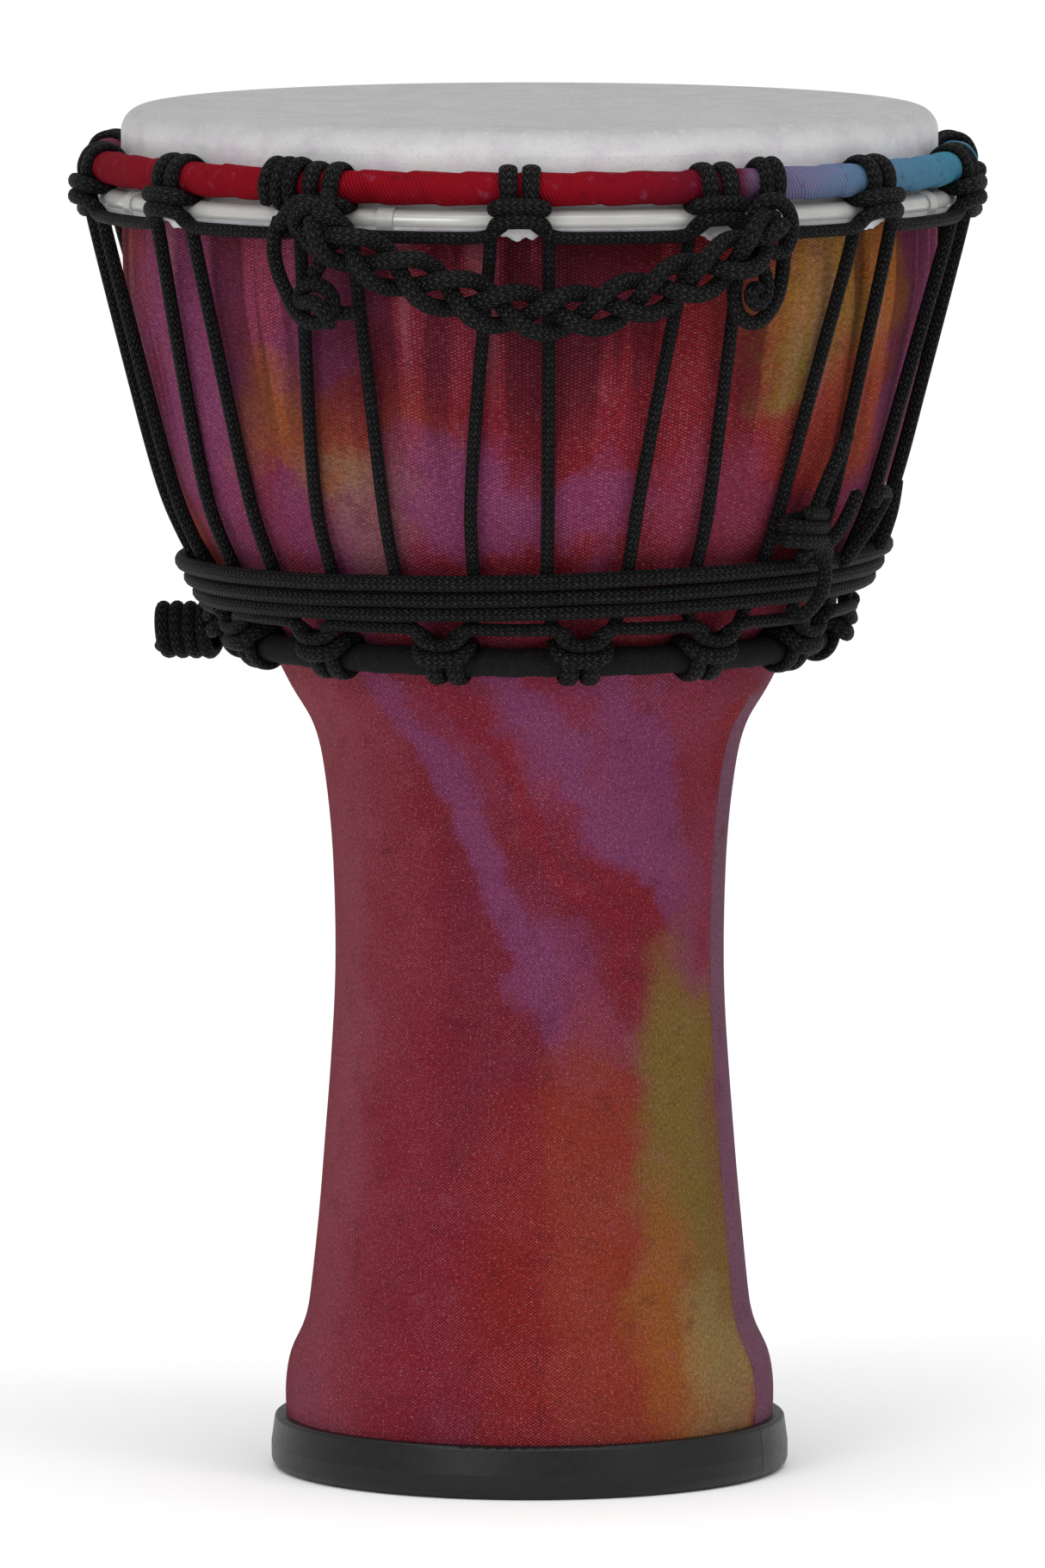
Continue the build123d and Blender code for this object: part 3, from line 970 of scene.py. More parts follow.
@dataclass
class Tube:
    """Rope tube swept along a run of points.

    Args:
        line: points along the rope, in metres.
        radius: radius in millimetres.
        pressing: flattening at each point, if any.
        sides: faces round the rope.
        tip: whether both ends are rounded, as a sealed rope end is.
    """

    line: list[Vector]
    radius: float = ROPE_RADIUS
    pressing: Pressing | None = None
    sides: int = 12
    tip: bool = False

    def _stations(self) -> list[tuple[Vector, float, float]]:
        """Centre, length so far and size share at each ring of the tube.

        Returns:
            One entry for each point of the line.
        """
        lengths = [0.0]
        for before, after in zip(self.line, self.line[1:]):
            lengths.append(lengths[-1] + (after - before).length)
        total = lengths[-1]
        cap = self.radius * MM * 0.7
        stations = []
        for point, length in zip(self.line, lengths):
            share = 1.0
            if self.tip:
                near = min(length, total - length)
                share = math.sqrt(max(0.03, 1.0 - max(0.0, 1.0 - near / cap) ** 2))
            stations.append((point, length, share))
        return stations

    def add_to(self, bm: Mesh) -> None:
        """Adds the tube to a bmesh, with UV as turn round it and metres along it.

        Args:
            bm: bmesh to add to.
        """
        stations = self._stations()
        count = len(stations)
        made = bmesh.ops.create_grid(bm, x_segments=self.sides, y_segments=count - 1, size=0.5)
        layer = bm.loops.layers.uv.verify()
        fresh = set(made["verts"])
        faces = {face for vertex in fresh for face in vertex.link_faces}
        for face in faces:
            for loop in face.loops:
                row = round((loop.vert.co.y + 0.5) * (count - 1))
                loop[layer].uv = (loop.vert.co.x + 0.5, stations[row][1])
        frames = self._frames([entry[0] for entry in stations])
        for vertex in fresh:
            row = round((vertex.co.y + 0.5) * (count - 1))
            turn = (vertex.co.x + 0.5) * TAU
            side, up = frames[row]
            centre, _, share = stations[row]
            offset = (side * math.cos(turn) + up * math.sin(turn)) * share
            vertex.co = centre + self._pressed(centre, offset)
        bmesh.ops.remove_doubles(bm, verts=list(fresh), dist=1e-7)
        ends = [edge for edge in {e for f in faces if f.is_valid for e in f.edges} if edge.is_boundary]
        bmesh.ops.holes_fill(bm, edges=ends, sides=0)

    def _pressed(self, centre: Vector, offset: Vector) -> Vector:
        """Offset from the centreline, in metres, after any flattening.

        Args:
            centre: point of the line.
            offset: direction and size share.

        Returns:
            The offset.
        """
        if self.pressing is None:
            return offset * self.radius * MM
        press = self.pressing(centre)
        deep = press.toward * offset.dot(press.toward)
        return (deep * press.thick + (offset - deep) * press.wide) * MM

    def _frames(self, points: list[Vector]) -> list[tuple[Vector, Vector]]:
        """Two unit vectors across the rope at each point, carried along without twist.

        Args:
            points: the line.

        Returns:
            A pair for each point.
        """
        frames = []
        last = None
        for index, point in enumerate(points):
            ahead = points[min(index + 1, len(points) - 1)]
            behind = points[max(index - 1, 0)]
            tangent = (ahead - behind).normalized()
            if last is None:
                last = tangent.orthogonal().normalized()
            side = (last - tangent * last.dot(tangent)).normalized()
            frames.append((side, tangent.cross(side)))
            last = side
        return frames


# ---------------------------------------------------------------- sub-assemblies


@dataclass
class Handle:
    """Braided carrying handle, looped across the front of the bowl.

    Args:
        centre: control points of its middle line.
        sway: how far each strand swings across the braid, in millimetres.
        rise: how far each strand passes in front of and behind the others.
        period: length of one full swing.
        strand: radius of one strand.
    """

    centre: tuple[Polar, ...] = (
        (-26.0, 136.2, 361.5),
        (-23.0, 136.6, 355.0),
        (-18.8, 135.2, 349.6),
        (-12.3, 132.4, 343.4),
        (-4.6, 130.2, 336.8),
        (3.4, 129.6, 334.6),
        (11.2, 130.8, 337.8),
        (18.6, 134.0, 344.2),
        (24.0, 137.0, 349.8),
        (27.6, 137.6, 355.6),
        (29.4, 137.0, 361.5),
    )
    sway: float = 5.3
    rise: float = 2.5
    period: float = 45.0
    strand: float = 2.4

    def build(self, palette: Palette) -> Piece:
        """Args:
            palette: materials.

        Returns:
            The plait.
        """
        middle = route("handle_route", [at(*point) for point in self.centre], steps=14)
        bm = bmesh.new()
        for strand in range(3):
            Tube(self._strand(middle, strand), self.strand, tip=True, sides=14).add_to(bm)
        piece = make_object("handle_plait", bm, palette.rope)
        settle(piece, Body.HANDLE, Slot.ROPE, "handle_braid")
        return piece

    def _strand(self, middle: list[Vector], strand: int) -> list[Vector]:
        """Middle line of one strand of the plait.

        Args:
            middle: middle line of the plait.
            strand: 0, 1 or 2.

        Returns:
            Its points, in metres.
        """
        line = []
        length = 0.0
        total = sum((b - a).length for a, b in zip(middle, middle[1:]))
        for index, point in enumerate(middle):
            ahead = middle[min(index + 1, len(middle) - 1)]
            behind = middle[max(index - 1, 0)]
            tangent = (ahead - behind).normalized()
            out = outward_of(point)
            side = tangent.cross(out).normalized()
            deep = side.cross(tangent)
            if index:
                length += (point - middle[index - 1]).length
            phase = TAU * (length / (self.period * MM) + strand / 3.0)
            gather = 0.45 + 0.55 * smooth(min(length, total - length), 0.0, 0.012)
            swing = side * self.sway * math.sin(phase) * gather
            line.append(point + (swing + deep * self.rise * math.sin(2.0 * phase)) * MM)
        return line


@dataclass(frozen=True)
class Ring:
    """A level ring that rope is pressed against.

    Args:
        size: radius of the ring, its height, and the radius of its section, in millimetres.
        reach: how far above or below the ring the rope lies free, in millimetres.
    """

    size: Polar
    reach: float

    def press(self, point: Vector) -> Press:
        """Flattening of a rope that passes over, under or in front of the ring.

        Args:
            point: point of the rope's line.

        Returns:
            Direction and half sizes.
        """
        radius, height, section = self.size
        out = outward_of(point)
        centre = out * radius * MM + Vector((0.0, 0.0, height * MM))
        away = point - centre
        gap = away.length / MM - section
        free = smooth(gap, 1.6, 3.2)
        toward = (away.normalized() * (1.0 - free) + out * free).normalized()
        near = min(2.0, max(0.8, gap))
        loose = smooth(abs(point.z / MM - height), self.reach - 2.0, self.reach + 1.0)
        thick = near * (1.0 - free) + (1.8 + 0.2 * loose) * free
        return Press(toward, thick, min(2.6, 4.0 / thick) - 0.2 * loose * free)


CROWN_RING = Ring(CROWN, 10.5)
LOWER_RING = Ring(LOWER, 8.0)


@dataclass(frozen=True)
class Tie:
    """One tie of the handle.

    Args:
        name: CAD node it stands for.
        turns: azimuth of each turn round the crown ring.
        runs: control points of each knot and loop, as distance to the right, radius and height.
    """

    name: str
    turns: tuple[float, ...]
    runs: tuple[tuple[Polar, ...], ...]


LEFT_TIE = Tie(
    "handle_tie_left",
    (-34.9, -33.1, -31.3),
    (
        (
            (-69.0, 130.5, 357.0), (-66.0, 133.0, 363.5), (-61.5, 134.0, 366.0), (-57.5, 133.5, 362.0),
            (-60.5, 132.5, 356.5), (-65.0, 133.5, 358.5), (-63.0, 135.5, 363.5), (-57.0, 136.0, 364.5),
            (-52.0, 135.0, 361.0), (-51.5, 134.0, 355.5), (-56.0, 134.5, 352.5), (-60.5, 133.5, 352.5),
            (-62.0, 131.5, 357.0),
        ),
        (
            (-68.0, 128.0, 361.0), (-70.5, 128.8, 355.0), (-69.5, 129.4, 346.0), (-66.0, 130.4, 338.5),
            (-63.4, 132.0, 333.4), (-58.6, 133.0, 331.4), (-53.8, 133.2, 334.2), (-53.6, 133.2, 339.6),
            (-57.5, 132.6, 343.0), (-62.6, 131.8, 341.6), (-62.8, 132.4, 336.4), (-59.6, 135.2, 338.6),
            (-55.8, 136.0, 335.4), (-54.0, 135.2, 330.6),
        ),
        ((-60.0, 128.0, 361.0), (-57.0, 130.0, 354.0), (-56.6, 130.6, 348.0), (-60.0, 131.2, 344.0)),
        ((-58.0, 129.6, 334.6), (-51.0, 130.6, 334.4), (-46.0, 130.6, 335.2)),
        ((-55.5, 130.0, 367.5), (-55.0, 134.0, 366.5), (-55.5, 136.0, 361.0), (-57.5, 135.4, 355.0)),
    ),
)
RIGHT_TIE = Tie(
    "handle_tie_right",
    (30.8, 32.6),
    (
        (
            (60.0, 131.0, 357.0), (61.5, 134.0, 363.5), (66.0, 135.5, 366.5), (71.0, 134.5, 363.0),
            (72.0, 133.0, 356.5), (69.5, 132.0, 350.0), (64.0, 133.5, 352.0), (61.5, 135.5, 357.5),
            (64.5, 136.8, 362.5), (68.0, 135.5, 360.0),
        ),
        (
            (70.5, 130.5, 357.0), (69.5, 131.0, 349.0), (68.8, 131.5, 342.0), (66.5, 131.8, 335.5),
            (61.8, 132.0, 331.0), (57.0, 132.0, 333.5), (55.4, 131.6, 340.0), (57.0, 131.0, 347.0),
            (61.0, 131.0, 354.0),
        ),
        (
            (59.0, 131.5, 352.0), (63.5, 132.6, 348.0), (65.4, 133.4, 341.0), (62.6, 133.8, 336.2),
            (60.0, 134.4, 339.0), (61.6, 135.0, 342.6), (63.2, 135.2, 340.0),
        ),
    ),
)


@dataclass
class HandleTies:
    """Turns of rope and hanging loops that hold the handle to the crown ring.

    Args:
        ties: the ties, left then right.
    """

    ties: tuple[Tie, ...] = (LEFT_TIE, RIGHT_TIE)

    def build(self, palette: Palette) -> None:
        """Makes each tie."""
        for tie in self.ties:
            self._tie(palette, tie)

    def _tie(self, palette: Palette, tie: Tie) -> None:
        """Makes one tie: its turns, then its knot and loops.

        Args:
            palette: materials.
            tie: tie to make.
        """
        bm = bmesh.new()
        wound = []
        for azimuth in tie.turns:
            for angle in range(-60, 300, 45):
                wound.append(self._round_ring(azimuth + angle / 360.0 * 1.6, angle))
        Tube(route(tie.name + "_turns", wound, steps=6), pressing=CROWN_RING.press, tip=True).add_to(bm)
        for number, run in enumerate(tie.runs):
            points = [beside(*place) for place in run]
            Tube(route(f"{tie.name}_run_{number}", points), KNOT_RADIUS, tip=True).add_to(bm)
        settle(make_object(tie.name + "_rope", bm, palette.rope), Body.DRUM, Slot.ROPE, tie.name)

    def _round_ring(self, azimuth: float, angle: float) -> Vector:
        """Point of a turn at an angle round the crown ring's section.

        Args:
            azimuth: azimuth in degrees.
            angle: angle of the section, in degrees from straight out.

        Returns:
            The point, in metres.
        """
        turn = math.radians(angle)
        reach = 6.8 if -90 < angle < 100 else 5.9
        return at(azimuth, CROWN[0] + reach * math.cos(turn), CROWN[1] + reach * math.sin(turn))


@dataclass
class Hitches:
    """The cow hitches round the crown ring and round the lower ring."""

    def build(self, palette: Palette) -> None:
        """Makes each hitch with its half of the strand on either side.

        Args:
            palette: materials.
        """
        for index in range(HITCHES):
            top = FIRST_TOP + index * PITCH
            bottom = top + BOTTOM_SHIFT
            number = f"{index + 1:02d}"
            self._hitch(palette, f"top_hitch_{number}", top, self._top(), CROWN_RING, TOP_STRAND)
            self._hitch(palette, f"bottom_hitch_{number}", bottom, self._bottom(), LOWER_RING, BOTTOM_STRAND)

    def _top(self) -> list[Polar]:
        """Left half of a top hitch, from its strand to the middle of its bar.

        Returns:
            Azimuth, radius and height of each point.
        """
        foot = [(-6.6, 124.9, 355.5), (-4.6, 125.0, 355.7), (-2.9, 125.2, 357.4), (-1.4, 125.4, 361.0)]
        turns = (
            (-1.35, -28, 6.3), (-1.4, 5, 6.2), (-1.45, 48, 6.2), (-1.5, 92, 6.0), (-1.6, 135, 5.7),
            (-1.9, 180, 5.3), (-2.3, 225, 5.3), (-2.7, 268, 5.6), (-3.2, 305, 6.8),
        )
        return foot + self._bend(CROWN, turns) + [(-2.9, 128.0, 364.2), (-1.4, 129.2, 364.6)]

    def _bottom(self) -> list[Polar]:
        """Left half of a bottom hitch, from its strand to the middle of its bar.

        Returns:
            Azimuth, radius and height of each point.
        """
        foot = [(-7.6, 91.1, 245.1), (-4.8, 91.1, 245.0), (-2.9, 90.0, 243.4), (-2.1, 87.0, 240.2)]
        turns = (
            (-2.0, 22, 6.0), (-2.0, -20, 5.7), (-2.1, -60, 5.6), (-2.2, -100, 5.5), (-2.4, 215, 5.3),
            (-3.1, 170, 5.2), (-3.8, 125, 5.2), (-4.4, 80, 5.6), (-4.9, 42, 7.4),
        )
        return foot + self._bend(LOWER, turns) + [(-3.8, 88.8, 236.8), (-1.8, 89.6, 236.2)]

    def _bend(self, ring: Polar, steps: Sequence[Polar]) -> list[Polar]:
        """Points round a ring's section.

        Args:
            ring: ring radius, height and section radius.
            steps: azimuth, angle of the section and distance from its middle, for each point.

        Returns:
            Azimuth, radius and height of each point.
        """
        bent = []
        for azimuth, angle, reach in steps:
            turn = math.radians(angle)
            bent.append((azimuth, ring[0] + reach * math.cos(turn), ring[1] + reach * math.sin(turn)))
        return bent

    def _hitch(
        self,
        palette: Palette,
        name: str,
        azimuth: float,
        half: list[Polar],
        ring: Ring,
        strand: tuple[float, float],
    ) -> None:
        """One hitch, mirrored from its left half.

        Args:
            palette: materials.
            name: CAD node it stands for.
            azimuth: middle of the hitch.
            half: control points of its left half.
            ring: ring it is tied round.
            strand: radius and height of the level strand between hitches.
        """
        reach = PITCH / 2.0
        lead = [(-reach, *strand), (-reach + 1.4, *strand), (-reach + 3.0, *strand)]
        left = [entry for entry in lead if entry[0] < half[0][0] - 1.0] + half
        right = [(-entry[0], entry[1], entry[2]) for entry in reversed(left)]
        points = [at(azimuth + entry[0], entry[1], entry[2]) for entry in left + right]
        bm = bmesh.new()
        Tube(route(name, points, steps=5), pressing=ring.press).add_to(bm)
        settle(make_object(name + "_rope", bm, palette.rope), Body.DRUM, Slot.ROPE, name)


@dataclass
class TensionRopes:
    """The fourteen V shaped runs of rope between the rings.

    Args:
        spread: half the gap between the two strands at the top, in degrees.
        foot_spread: the same at the bottom.
    """

    spread: float = 3.75
    foot_spread: float = 6.8

    def _side(self, end: float, side: int) -> list[Polar]:
        """One side of a V, from the lower hitch up to the arch.

        Args:
            end: azimuth of the lower hitch from the middle of the V.
            side: 1 for the right side, -1 for the left.

        Returns:
            Control points.
        """
        foot = end - side * self.foot_spread
        top = side * self.spread
        return [
            (end, 90.4, 240.2),
            (end - side * 2.4, 90.2, 240.4),
            (end - side * 4.2, 89.4, 242.8),
            (foot, 89.2, 249.3),
            (foot, 98.8, 267.0),
            (foot + 0.05 * (top - foot), 104.1, 281.0),
            (foot + 0.5 * (top - foot), 113.0, 315.0),
            (top, 122.4, 351.0),
            (top, 123.6, 357.0),
            (side * 2.5, 128.2, 360.3),
        ]

    def build(self, palette: Palette) -> None:
        """Makes each V with its arch over the legs of the hitch.

        Args:
            palette: materials.
        """
        left = self._side(BOTTOM_SHIFT - PITCH, -1)
        right = self._side(BOTTOM_SHIFT, 1)
        points = left + [(0.0, 129.9, 360.6)] + list(reversed(right))
        for index in range(HITCHES):
            azimuth = FIRST_TOP + index * PITCH
            name = f"tension_rope_{index + 1:02d}"
            shake = noise.noise(Vector((index * 3.7, 0.0, 0.0)))
            run = [at(azimuth + entry[0], entry[1], entry[2] + 0.25 * shake) for entry in points]
            bm = bmesh.new()
            Tube(route(name, run, steps=6), pressing=CROWN_RING.press).add_to(bm)
            settle(make_object(name + "_rope", bm, palette.rope), Body.DRUM, Slot.ROPE, name)


@dataclass
class CounterWraps:
    """Three turns of rope over the foot of the strands, and the knot that ends them.

    Args:
        levels: radius and height of each turn, in millimetres.
        rise: how far the turns sit above those heights.
        tilt: how far they climb toward the knot's side.
        flare: how far a turn moves out for each millimetre it climbs.
        radius: radius of the rope.
    """

    levels: tuple[tuple[float, float], ...] = ((98.4, 257.9), (95.9, 253.3), (93.5, 249.1))
    rise: float = 1.0
    tilt: float = 2.4
    flare: float = 0.54
    radius: float = 2.28

    def build(self, palette: Palette) -> None:
        """Makes the turns and the knot with its loop and tails.

        Args:
            palette: materials.
        """
        bm = bmesh.new()
        for level, (radius, height) in enumerate(self.levels):
            points = []
            for step in range(48):
                azimuth = step * 7.5
                wave = 0.4 * noise.noise(Vector((level * 5.0, step * 0.55, 0.0)))
                wave += self.rise + self.tilt * math.sin(math.radians(azimuth))
                points.append(at(azimuth, radius + self.flare * wave, height + wave))
            line = route(f"counter_wrap_{level}", points, closed=True, steps=4)
            Tube(line + line[:1], self.radius).add_to(bm)
        settle(make_object("counter_wraps_rope", bm, palette.rope), Body.DRUM, Slot.ROPE, "counter_wraps")
        self._knot(palette)

    def _knot(self, palette: Palette) -> None:
        """The tie-off: a knot of two turns, a hook over the wraps, tails and tucked ends.

        Args:
            palette: materials.
        """
        runs = (
            ((77.0, 106.0, 267.0), (80.6, 107.2, 264.8), (82.2, 106.8, 259.0), (80.8, 105.2, 252.4),
             (76.6, 103.6, 247.6), (73.0, 101.0, 246.4), (72.4, 98.0, 249.4)),
            ((77.6, 106.4, 273.0), (81.4, 108.6, 283.0), (85.6, 111.6, 292.0), (88.6, 113.4, 299.0)),
            ((79.0, 105.6, 265.0), (84.0, 106.0, 267.6), (88.0, 107.6, 273.6), (91.4, 110.0, 281.4)),
            ((86.0, 101.4, 259.0), (92.6, 105.6, 267.4), (97.6, 109.6, 275.6), (99.4, 111.4, 280.0),
             (96.6, 112.0, 280.4), (94.8, 111.0, 276.0)),
            ((97.0, 103.0, 262.0), (100.0, 106.4, 270.0), (101.6, 108.6, 277.0), (102.2, 110.0, 283.0)),
            ((74.0, 104.6, 262.6), (76.4, 107.6, 265.6), (80.6, 108.0, 267.2), (83.0, 106.0, 264.6),
             (80.0, 104.2, 261.8), (76.0, 104.8, 263.6)),
        )
        bm = bmesh.new()
        for number, run in enumerate(runs):
            points = [beside(*place) for place in run]
            Tube(route(f"tie_off_{number}", points), tip=True).add_to(bm)
        turns = []
        for step in range(19):
            turn = step * TAU / 8.0
            right, radius = 75.6 + 6.0 * math.cos(turn), 106.4 + 3.4 * math.sin(turn)
            turns.append(beside(right, radius, 267.6 + 0.48 * step))
        Tube(route("tie_off_turns", turns), KNOT_RADIUS, tip=True).add_to(bm)
        settle(make_object("tie_off_rope", bm, palette.rope), Body.DRUM, Slot.ROPE, "tie_off_knot")


@dataclass
class SpareCoil:
    """Coil of spare rope at the left of the waist.

    Args:
        azimuth: where it hangs.
        height: height of its middle.
        turns: number of turns.
        root: distance of the first turn from the drum's axis.
        lay: distance from one turn to the next.
        reach: radius of a turn.
    """

    azimuth: float = -103.0
    height: float = 234.5
    turns: float = 4.7
    root: float = 89.6
    lay: float = 3.9
    reach: float = 6.6

    def build(self, palette: Palette) -> None:
        """Makes the coil as one long rope.

        Args:
            palette: materials.
        """
        points = []
        for step in range(round(self.turns * 10) + 1):
            turn = step * TAU / 10.0
            radius = self.root + self.lay * step / 10.0
            reach = self.reach + 0.5 * noise.noise(Vector((step * 0.31, 2.0, 0.0)))
            azimuth = self.azimuth + math.degrees(reach / radius) * math.cos(turn)
            points.append(at(azimuth, radius, self.height + reach * math.sin(turn)))
        bm = bmesh.new()
        Tube(route("spare_coil", points, steps=5), tip=True).add_to(bm)
        settle(make_object("spare_coil_rope", bm, palette.rope), Body.DRUM, Slot.ROPE, "spare_rope_coil")


@dataclass
class ClothWrap:
    """Tie-dyed cloth glued round stem and bowl.

    Args:
        outline: radius and height up the outside of the cloth, in millimetres.
        seam: azimuth of the lap.
        columns: mesh columns round the drum.
    """

    outline: tuple[tuple[float, float], ...] = (
        (68.5, 5.0), (68.5, 14.0), (68.5, 24.0), (67.0, 32.5), (62.9, 42.0), (60.9, 55.0), (57.5, 92.0),
        (54.6, 136.0), (55.0, 171.0), (57.2, 195.5), (60.4, 210.0), (66.6, 221.0), (74.2, 235.0),
        (87.9, 256.0), (100.9, 281.5), (109.2, 317.0), (112.4, 333.0), (113.0, 343.0), (113.0, 356.0),
    )
    seam: float = LAP
    columns: int = 672

    def _profile(self) -> list[tuple[float, float]]:
        """Outline with smooth points in between.

        Returns:
            Radius and height of each point.
        """
        fine = []
        last = len(self.outline) - 1
        for index in range(last):
            before, start, end, after = (self.outline[min(last, max(0, index + k))] for k in (-1, 0, 1, 2))
            pieces = max(2, round((end[1] - start[1]) / 2.4))
            for piece in range(pieces):
                t = piece / pieces
                fine.append(tuple(self._curve(t, before[k], start[k], end[k], after[k]) for k in (0, 1)))
        fine.append(self.outline[-1])
        return fine

    @staticmethod
    def _curve(t: float, before: float, start: float, end: float, after: float) -> float:
        """Value a share t of the way along a smooth step.

        Args:
            t: share of the step.
            before: value before it.
            start: value where it starts.
            end: value where it ends.
            after: value after it.

        Returns:
            The value.
        """
        rise = 0.5 * (end - before)
        fall = 0.5 * (after - start)
        square, cube = t * t, t * t * t
        ends = (2 * cube - 3 * square + 1) * start + (3 * square - 2 * cube) * end
        return ends + (cube - 2 * square + t) * rise + (cube - square) * fall

    @staticmethod
    def _fold(azimuth: float, height: float) -> float:
        """How far a pleat stands out, from about -0.3 in a valley to 0.5 on a ridge.

        Args:
            azimuth: azimuth, in degrees.
            height: height, in millimetres.

        Returns:
            The pleat.
        """
        turn = math.radians(azimuth)
        place = Vector((13.0 * math.cos(turn), 13.0 * math.sin(turn), height * 0.008))
        fold = noise.noise(place) + 0.4 * noise.noise(place * 2.3)
        return smooth(height, 262.0, 345.0) * max(-0.3, fold)

    def _lift(self, azimuth: float, height: float) -> float:
        """How far the cloth stands off its outline, in millimetres, for pleats, slack and the lap.

        Args:
            azimuth: azimuth, in degrees.
            height: height, in millimetres.

        Returns:
            The distance.
        """
        lift = 0.5 * smooth(height, 268.0, 350.0) + 2.0 * self._fold(azimuth, height)
        soft = noise.noise(Vector((azimuth * 0.10, height * 0.035, 7.0)))
        lift += 0.12 * (1.0 + soft)
        offset = azimuth - self.seam + 0.25 * noise.noise(Vector((height * 0.02, 0.0, 3.0)))
        body = smooth(height, 15.0, 17.0) * (1.0 - smooth(height, 219.0, 222.0))
        lift += 0.75 * body * smooth(offset, -5.5, -1.5) * (1.0 - smooth(offset, 0.2, 0.7))
        return 0.15 + lift * smooth(height, 15.0, 20.0)

    def build(self, palette: Palette) -> Piece:
        """Args:
            palette: materials.

        Returns:
            The cloth.
        """
        bm = bmesh.new()
        spin_round(bm, stand_up(bm, self._profile()), self.columns)
        layer = bm.loops.layers.uv.verify()
        for face in bm.faces:
            turns = [azimuth_of(loop.vert.co) for loop in face.loops]
            for loop, turn in zip(face.loops, turns):
                turn += 360.0 if max(turns) - turn > 180.0 else 0.0
                loop[layer].uv = (math.radians(turn) * 0.085, loop.vert.co.z)
        # The fold layer keeps each pleat's height, which the cloth material turns into painted shade in
        # valleys and painted highlight on ridges.
        painted_fold_shading = bm.verts.layers.float.new("fold")
        for vertex in bm.verts:
            azimuth = azimuth_of(vertex.co)
            vertex[painted_fold_shading] = self._fold(azimuth, vertex.co.z / MM)
            lift = self._lift(azimuth, vertex.co.z / MM)
            vertex.co += outward_of(vertex.co) * lift * MM
        piece = make_object("tie_dye_cloth", bm, palette.cloth)
        cover = piece.modifiers.new("cloth_thickness", "SOLIDIFY")
        cover.thickness = 0.0005
        cover.offset = -1.0
        settle(piece, Body.DRUM, Slot.TIE_DYE, "fabric_wrap", "fabric_seam")
        return piece


@dataclass
class RingCloth:
    """Cloth strip wound round a ring.

    Args:
        name: name of the piece.
        node: CAD node it stands for.
        ring: ring radius, height and section radius, in millimetres.
        step: azimuth taken by one turn of the strip, in degrees.
        ridge: height of the step at each turn's edge.
        slot: material slot.
        columns: mesh columns round the drum.
    """

    name: str
    node: str
    ring: Polar
    step: float
    ridge: float
    slot: Slot
    columns: int = 1440

    def build(self, material: Material) -> None:
        """Makes the wound strip by spinning the section, then raising each turn's edge.

        Args:
            material: its finish.
        """
        radius, height, section = self.ring
        bm = bmesh.new()
        made = bmesh.ops.create_circle(bm, segments=26, radius=section * MM)
        for vertex in made["verts"]:
            flat = vertex.co.copy()
            vertex.co = at(0.0, radius, height) + Vector((0.0, -flat.x, flat.y))
        spin_round(bm, list(made["verts"]) + list(bm.edges), self.columns)
        layer = bm.loops.layers.uv.verify()
        for face in bm.faces:
            turns = [azimuth_of(loop.vert.co) for loop in face.loops]
            rolls = [self._roll(loop.vert.co) for loop in face.loops]
            for loop, turn, roll in zip(face.loops, turns, rolls):
                turn += 360.0 if max(turns) - turn > 180.0 else 0.0
                roll += TAU if max(rolls) - roll > math.pi else 0.0
                loop[layer].uv = (math.radians(turn) * radius * MM, roll * section * MM)
        for vertex in bm.verts:
            centre = outward_of(vertex.co) * radius * MM + Vector((0.0, 0.0, height * MM))
            away = (vertex.co - centre).normalized()
            vertex.co = centre + away * (section + self._raise(vertex.co)) * MM
        settle(make_object(self.name, bm, material), Body.DRUM, self.slot, self.node)

    def _roll(self, point: Vector) -> float:
        """Angle of a point round the ring's section.

        Args:
            point: point in metres.

        Returns:
            The angle, in radians.
        """
        radius, height, _ = self.ring
        reach = math.hypot(point.x, point.y) - radius * MM
        return math.atan2(point.z - height * MM, reach)

    def _raise(self, point: Vector) -> float:
        """How far the strip stands out at a point, in millimetres.

        Args:
            point: point in metres.

        Returns:
            The distance.
        """
        azimuth = azimuth_of(point)
        roll = self._roll(point) / TAU
        wander = 0.10 * noise.noise(Vector((azimuth * 0.2, roll * 1.5, 0.0)))
        turn = (azimuth / self.step + roll + wander) % 1.0
        edge = smooth(turn, 0.0, 0.16) * (1.0 - 0.85 * smooth(turn, 0.2, 1.0))
        return self.ridge * edge + 0.08 * noise.noise(Vector((azimuth * 0.7, roll * 4.0, 5.0)))


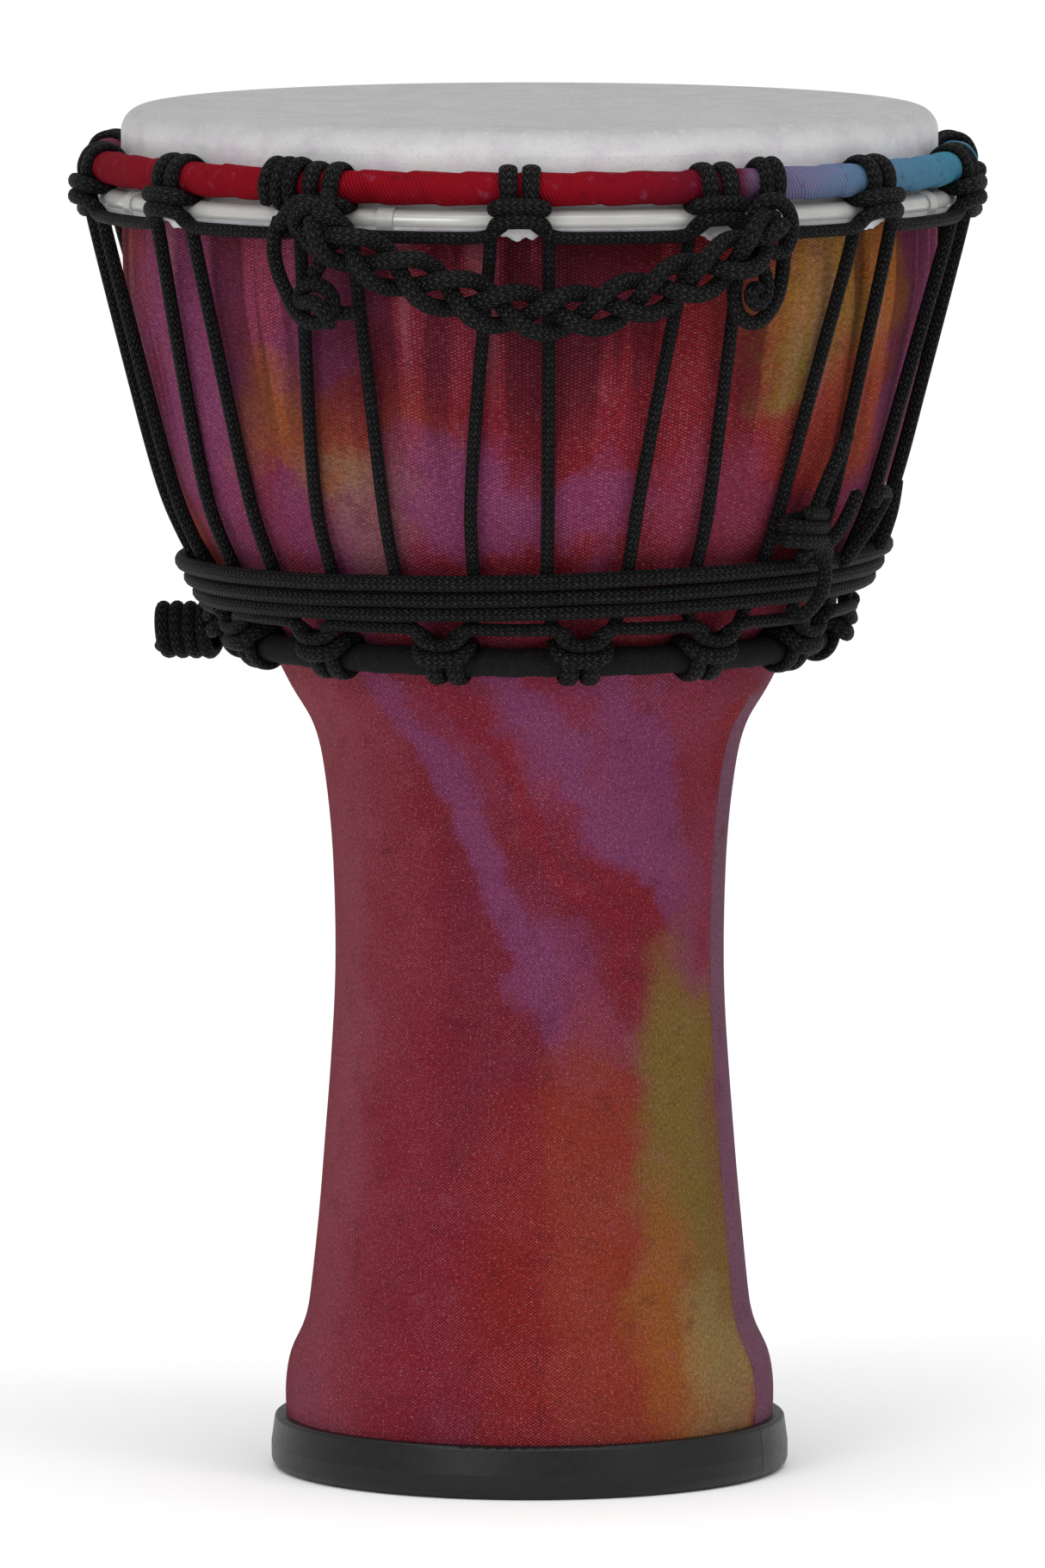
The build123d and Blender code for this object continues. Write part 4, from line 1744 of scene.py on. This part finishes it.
@dataclass
class FilmEdge:
    """Trimmed edge of the film, which shows under the hoop between the legs of each hitch.

    Args:
        rows: radius and height of the strip from its top down, in millimetres.
        columns: mesh columns round the drum.
    """

    rows: tuple[tuple[float, float], ...] = ((121.2, 360.6), (121.9, 359.0), (121.9, 357.8), (121.5, 356.6))
    columns: int = 840

    def build(self, palette: Palette) -> None:
        """Makes the ragged strip of film.

        Args:
            palette: materials.
        """
        bm = bmesh.new()
        spin_round(bm, stand_up(bm, self.rows), self.columns)
        top = self.rows[0][1]
        for vertex in bm.verts:
            azimuth = azimuth_of(vertex.co)
            share = smooth(top - vertex.co.z / MM, 0.0, top - self.rows[-1][1])
            vertex.co.z -= share * self._drop(azimuth) * MM
        piece = make_object("film_edge", bm, palette.film)
        cover = piece.modifiers.new("film_thickness", "SOLIDIFY")
        cover.thickness = 0.00035
        cover.offset = 0.0
        settle(piece, Body.DRUM, Slot.FILM)

    def _drop(self, azimuth: float) -> float:
        """How far the edge hangs below its shortest part, in millimetres.

        Args:
            azimuth: azimuth, in degrees.

        Returns:
            The distance.
        """
        offset = (azimuth - FIRST_TOP + PITCH / 2.0) % PITCH - PITCH / 2.0
        tongue = 1.0 - smooth(abs(offset), 0.8, 3.2)
        ragged = noise.noise(Vector((azimuth * 0.9, 0.0, 0.0)))
        return 2.2 * tongue * (0.8 + 0.5 * ragged) + 0.5 * ragged


@dataclass
class Frame:
    """CAD pieces that are kept as they are and given a finish."""

    def dress(self, palette: Palette) -> None:
        """Gives each kept node its material.

        Args:
            palette: materials.
        """
        finishes = {
            "shell": palette.shell,
            "foot_ring": palette.rubber,
            "drum_head": palette.film,
            "flesh_hoop_wire": palette.steel,
            "flesh_hoop_tube": palette.hoop,
            "flesh_hoop_sleeves": palette.sleeve,
            "crown_ring_rod": palette.steel,
            "lower_ring_rod": palette.steel,
        }
        for node, material in finishes.items():
            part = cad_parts[node]
            part.data.materials.clear()
            part.data.materials.append(material)
            LOG.info("%s: dressed", node)


def main() -> None:
    """Builds the drum, sub-assembly by sub-assembly."""
    logging.basicConfig(level=logging.INFO, format="%(message)s")
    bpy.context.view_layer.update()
    Studio().build()
    palette = Palette()
    Handle().build(palette)
    HandleTies().build(palette)
    Hitches().build(palette)
    TensionRopes().build(palette)
    CounterWraps().build(palette)
    SpareCoil().build(palette)
    ClothWrap().build(palette)
    RingCloth("crown_cloth_strip", "crown_ring_cloth", CROWN, 7.2, 0.5, Slot.CROWN).build(palette.crown)
    lower = RingCloth("lower_cloth_strip", "lower_ring_cloth", LOWER, 9.0, 0.3, Slot.DARK_CLOTH, 720)
    lower.build(palette.dark_cloth)
    FilmEdge().build(palette)
    Frame().dress(palette)


if __name__ == "__main__":
    main()
